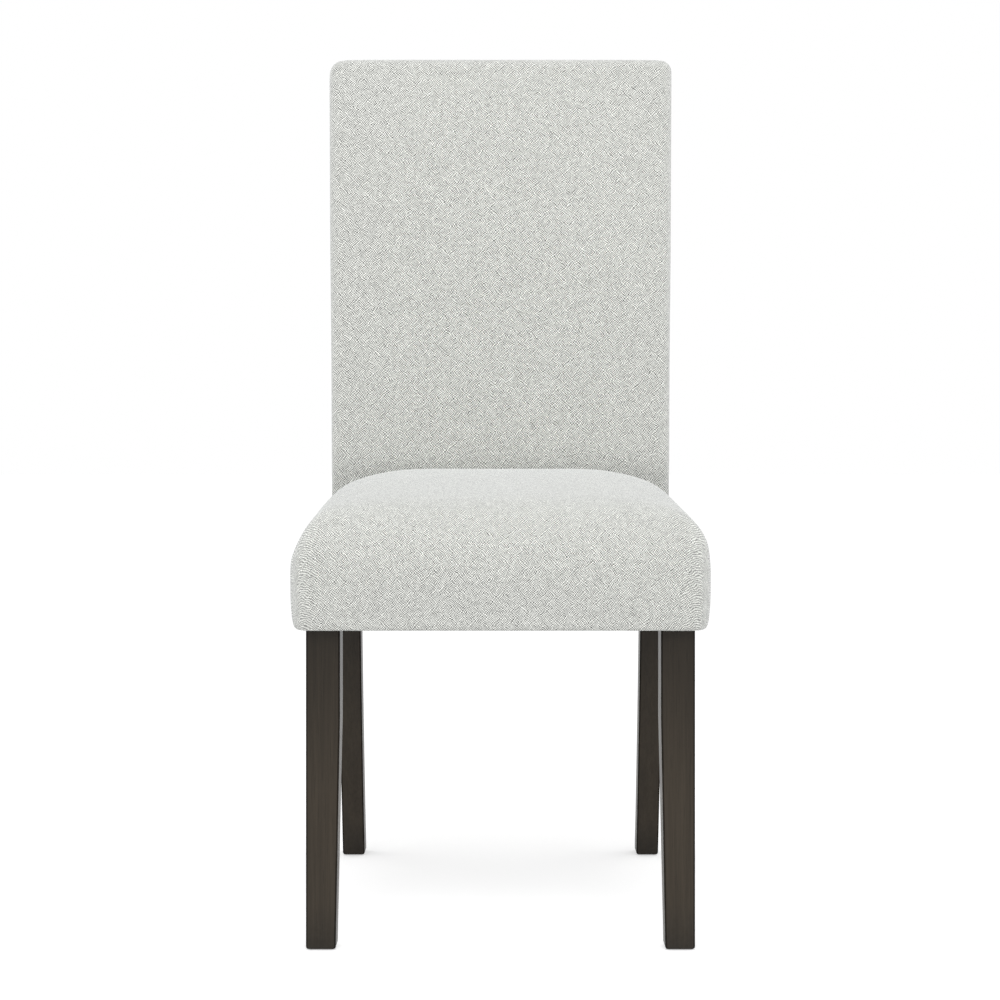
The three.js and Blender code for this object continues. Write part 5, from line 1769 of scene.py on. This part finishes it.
@dataclass
class Underside:
    """Black cloth under the seat: folded under at its edges, cut round the legs and stapled to the rails."""

    lines: ChairLines
    name: str = "underside_cloth"
    level: float = 338.85
    thickness: float = 0.25
    inset: float = 13
    rear_inset: float = 5.5
    rear_spread: tuple[float, float] = (396, 412)
    rear_end: float = 480.8
    fold: float = 9
    fold_drop: float = 0.08
    sag: float = 3.2
    front_leg: tuple[float, float] = (168, 58)
    rear_leg: tuple[float, float] = (175.7, 441.5)
    step: float = 6

    def half(self, depth: float) -> float:
        """Gives half the width of the cloth at a depth, which reaches further out under the back."""
        start, end = self.rear_spread
        share = min(max((depth - start) / (end - start), 0), 1)
        return self.lines.seat_half(min(depth, self.lines.seat_depth)) - between(self.inset, self.rear_inset, share)

    def marks(self, low: float, high: float, stops: Sequence[float]) -> list[float]:
        """Divides a run into even steps that also meet each stop.

        Args:
            low: Start of the run.
            high: End of the run.
            stops: Places on it that must be met.

        Returns:
            The places along the run.
        """
        ends = sorted({low, high, *stops})
        places = [low]
        for start, end in zip(ends, ends[1:]):
            count = max(round((end - start) / self.step), 1)
            places += [between(start, end, k / count) for k in range(1, count + 1)]
        return places

    def cut_away(self, x: float, depth: float) -> bool:
        """Tells whether a place lies in the way of a leg."""
        front = abs(x) > self.front_leg[0] and depth < self.front_leg[1]
        return front or (abs(x) > self.rear_leg[0] and depth > self.rear_leg[1])

    def edge_distance(self, x: float, depth: float) -> float:
        """Gives how far a place is from the nearest edge of the cloth."""
        distances = [self.half(depth) - abs(x), depth - self.inset, self.rear_end - depth]
        for (leg_x, leg_y), way in ((self.front_leg, 1), (self.rear_leg, -1)):
            aside, along = leg_x - abs(x), (depth - leg_y) * way
            distances.append(max(aside, along) if min(aside, along) < 0 else math.hypot(aside, along))
        return max(min(distances), 0)

    def height(self, x: float, depth: float) -> float:
        """Gives the height of the cloth: flat on the rails, thicker at the fold and slack in the middle."""
        edge = self.edge_distance(x, depth)
        folded = 1 / (1 + math.exp((edge - self.fold) * 1.6))
        slack = min(max((edge - 34) / 120, 0), 1)
        slack = slack * slack * (3 - 2 * slack)
        ripple = 0.5 * math.sin(x / 23 + depth / 41) * math.sin(depth / 29 - x / 57 + 1.1)
        pull = 0.25 * math.exp(-edge / 20) * math.sin((x + depth) / 7.6)
        return self.level - self.fold_drop * folded - slack * (self.sag + ripple) + pull * min(edge / 6, 1)

    def make(self) -> bpy.types.Object:
        """Makes the cloth.

        Returns:
            The piece.
        """
        share = self.front_leg[0] / self.half(0), self.rear_leg[0] / self.half(self.rear_end)
        across = self.marks(0, 1, share)
        across = [-x for x in reversed(across[1:])] + across
        down = self.marks_down()
        mesh = bpy.data.meshes.new(self.name)
        work = bmesh.new()
        grid = {}
        for row, depth in enumerate(down):
            for column, part in enumerate(across):
                x = self.across_place(part, depth)
                grid[row, column] = work.verts.new(place(x, depth, self.height(x, depth)))
        for row in range(len(down) - 1):
            for column in range(len(across) - 1):
                middle_depth = (down[row] + down[row + 1]) / 2
                middle = self.across_place((across[column] + across[column + 1]) / 2, middle_depth)
                if not self.cut_away(middle, middle_depth):
                    work.faces.new([grid[row, column], grid[row, column + 1], grid[row + 1, column + 1],
                                    grid[row + 1, column]])
        bmesh.ops.delete(work, geom=[vertex for vertex in work.verts if not vertex.link_faces], context="VERTS")
        bmesh.ops.recalc_face_normals(work, faces=work.faces)
        if sum(face.normal.z for face in work.faces) > 0:
            bmesh.ops.reverse_faces(work, faces=work.faces)
        work.to_mesh(mesh)
        work.free()
        piece = make_object(self.name, mesh)
        wall = piece.modifiers.new("thickness", "SOLIDIFY")
        wall.thickness = self.thickness / METRE
        wall.offset = 0
        set_out(piece, Slot.DUST_CLOTH, ("dust_cover",))
        depth = self.rear_end - self.inset
        2 * self.half(self.inset) / METRE
        return piece

    def across_place(self, part: float, depth: float) -> float:
        """Gives where a column lies at a depth, so that columns run along the inner sides of the legs."""
        front, rear = self.front_leg[0] / self.half(0), self.rear_leg[0] / self.half(self.rear_end)
        size = abs(part)
        straight = between(self.front_leg[0], self.rear_leg[0], min(max(size - front, 0) / (rear - front), 1))
        if size <= front:
            x = size / front * self.front_leg[0]
        elif size <= rear:
            x = straight
        else:
            x = between(self.rear_leg[0], self.half(depth), (size - rear) / (1 - rear))
        return math.copysign(x, part)

    def marks_down(self) -> list[float]:
        """Gives the rows of the cloth from front to rear."""
        return self.marks(self.inset, self.rear_end, (self.front_leg[1], *self.rear_spread, self.rear_leg[1]))

    def staple_paths(self) -> list[list[tuple[Vector, Vector]]]:
        """Gives the lines along which the cloth is stapled to the rails, with the way out at each point."""
        down = Vector((0, 0, -1))
        line = self.fold / 2 + 1
        drop = self.level - self.fold_drop - self.thickness / 2

        def run(ends: tuple[Plan, Plan]) -> list[tuple[Vector, Vector]]:
            """Lays points between two places in plan."""
            (x0, y0), (x1, y1) = ends
            return [(place(between(x0, x1, k / 24), between(y0, y1, k / 24), drop), down) for k in range(25)]

        front_end, rear_start = self.front_leg[1] + 10, self.rear_spread[0] - 6
        sides = [((side.value * (self.half(front_end) - line), front_end),
                  (side.value * (self.half(rear_start) - line), rear_start)) for side in Side]
        ends = [((-self.front_leg[0] + 12, self.inset + line), (self.front_leg[0] - 12, self.inset + line)),
                ((-self.rear_leg[0] + 12, self.rear_end - line), (self.rear_leg[0] - 12, self.rear_end - line))]
        return [run(pair) for pair in (*sides, *ends)]


def dress_frame(shown: set[str]) -> int:
    """Gives every CAD node that stays its own finish.

    Args:
        shown: Names of the nodes that pieces of the scene replace.

    Returns:
        The number of nodes that were dressed.
    """
    slots = {part["node"]: Slot(part["material_slot"]) for part in frame["record"]["subparts"]}
    dressed = 0
    for name, node in frame["nodes"].items():
        if name in shown or not node.material_slots:
            continue
        for holder in node.material_slots:
            holder.material = FINISHES[slots[name]].material()
        dressed += 1
    return dressed


# Studio


@dataclass(frozen=True)
class Studio:
    """Pale floor, soft light and the camera at the photograph's viewing angle."""

    eye_depth: float = -2238.0
    eye_height: float = 540.4
    lens: float = 76.55
    horizon_shift: float = -0.06
    middle_shift: float = -0.0005
    sky: float = 0.465
    sky_sides: float = 3.0
    floor_colour: float = 0.84
    floor_glow: float = 0.48
    key_power: float = 46.0
    key_size: float = 1.9
    key_place: tuple[float, float, float] = (0.0, -1750.0, 2600.0)
    floor_size: float = 60.0

    def camera(self) -> None:
        """Sets the camera level, in front of the chair."""
        data = bpy.data.cameras.new("front_view")
        data.lens = self.lens
        data.sensor_width = 36
        data.shift_y = self.horizon_shift
        data.shift_x = self.middle_shift
        eye = bpy.data.objects.new("front_view", data)
        eye.location = place(0, self.eye_depth, self.eye_height)
        eye.rotation_euler = (math.pi / 2, 0, 0)
        bpy.context.scene.collection.objects.link(eye)
        bpy.context.scene.camera = eye

    def seen_rays(self, wiring: Wiring) -> bpy.types.NodeSocket:
        """Gives 1 for rays that show the surroundings: from the camera, in gloss and through glass."""
        path = wiring.add("ShaderNodeLightPath")
        seen = wiring.math("MAXIMUM", path.outputs["Is Camera Ray"], path.outputs["Is Glossy Ray"])
        return wiring.math("MAXIMUM", seen, path.outputs["Is Transmission Ray"])

    def world(self) -> None:
        """Lights the chair softly, a little more from its sides, and shows white behind it."""
        world = bpy.data.worlds.new("studio")
        world.use_nodes = True
        bpy.context.scene.world = world
        tree = world.node_tree
        wiring = Wiring(tree)
        aside = wiring.add("ShaderNodeSeparateXYZ", {0: wiring.add("ShaderNodeTexCoord").outputs["Generated"]}).outputs[0]
        level = wiring.spread(wiring.math("MULTIPLY", aside, aside), 0.0, 1.0, self.sky, self.sky * self.sky_sides)
        strength = wiring.add("ShaderNodeMix", {0: self.seen_rays(wiring), 2: level, 3: 1.0}, data_type="FLOAT")
        tree.links.new(strength.outputs[0], tree.nodes["Background"].inputs["Strength"])
        tree.nodes["Background"].inputs["Color"].default_value = (1.0, 1.0, 1.0, 1.0)

    def floor(self) -> None:
        """Lays a plain pale floor that shows white in the open and keeps the chair's shadow."""
        half = self.floor_size / 2
        mesh = bpy.data.meshes.new("floor")
        mesh.from_pydata([(-half, -half, 0), (half, -half, 0), (half, half, 0), (-half, half, 0)], [], [(0, 1, 2, 3)])
        floor = bpy.data.objects.new("floor", mesh)
        bpy.context.scene.collection.objects.link(floor)
        material = bpy.data.materials.new("studio_floor")
        material.use_nodes = True
        tree = material.node_tree
        tree.nodes.clear()
        wiring = Wiring(tree)
        soft = wiring.add("ShaderNodeBsdfDiffuse", {"Color": (self.floor_colour,) * 3})
        glow = wiring.math("MULTIPLY", self.seen_rays(wiring), self.floor_glow)
        glow = wiring.add("ShaderNodeEmission", {"Strength": glow})
        both = wiring.add("ShaderNodeAddShader", {0: soft.outputs[0], 1: glow.outputs[0]})
        wiring.add("ShaderNodeOutputMaterial", {"Surface": both.outputs[0]})
        mesh.materials.append(material)

    def key_light(self) -> None:
        """Hangs one broad soft light above and in front of the chair."""
        data = bpy.data.lights.new("key", "AREA")
        data.shape = "DISK"
        data.size = self.key_size
        data.energy = self.key_power
        lamp = bpy.data.objects.new("key", data)
        lamp.location = place(*self.key_place)
        lamp.rotation_euler = (Vector((0, 0, 0.5)) - lamp.location).to_track_quat("-Z", "Y").to_euler()
        bpy.context.scene.collection.objects.link(lamp)

    def make(self) -> None:
        """Sets up the whole studio."""
        self.camera()
        self.world()
        self.floor()
        self.key_light()
        bpy.context.scene.view_settings.view_transform = "Standard"


def main() -> None:
    """Builds the chair piece by piece."""
    logging.basicConfig(level=logging.INFO, format="%(name)s: %(message)s")
    Studio().make()
    settling = Settling()
    seat = SeatUpholstery(
        LINES, "seat_upholstery", ("seat_cover", "seat_wadding", "seat_foam"),
        across_stations(LINES.seat_roll_reach, 9, 26),
        end_stations(LINES.seat_roll_reach, 9, LINES.seat_depth - 0.3, 7), radius=26)
    back = BackUpholstery(
        LINES, "back_upholstery", ("back_cover", "back_wadding", "back_foam"),
        across_stations(13, 7, 26), end_stations(13, 7, LINES.overall_height - LINES.underside, 8), radius=15,
        thread_stretch=1.2)
    pieces = [seat.make(settling), back.make(settling)]
    panel = OutsidePanel(LINES)
    pieces.append(panel.make())
    sewing = StitchRow("blind_stitches", spacing=7.5, length=3.4, rise=0.35, thickness=0.55)
    pieces.append(sewing.lay("outside_back_stitches", panel.seam_path(), Slot.COVER))
    pieces += Legs(LINES).make()
    pieces += Glides().make()
    underside = Underside(LINES)
    pieces.append(underside.make())
    staples = StitchRow("staple_row", spacing=26, length=10, rise=0.25, thickness=0.8, unevenness=0.03)
    for number, path in enumerate(underside.staple_paths(), 1):
        pieces.append(staples.lay(f"staples_{number}", path, Slot.STEEL))
    for piece in pieces:
        log.info("%s: %d faces", piece.name, len(piece.data.polygons))
    hidden = {name for name, node in frame["nodes"].items() if node.hide_render}
    log.info("CAD nodes dressed: %d", dress_frame(hidden))


if __name__ == "__main__":
    main()
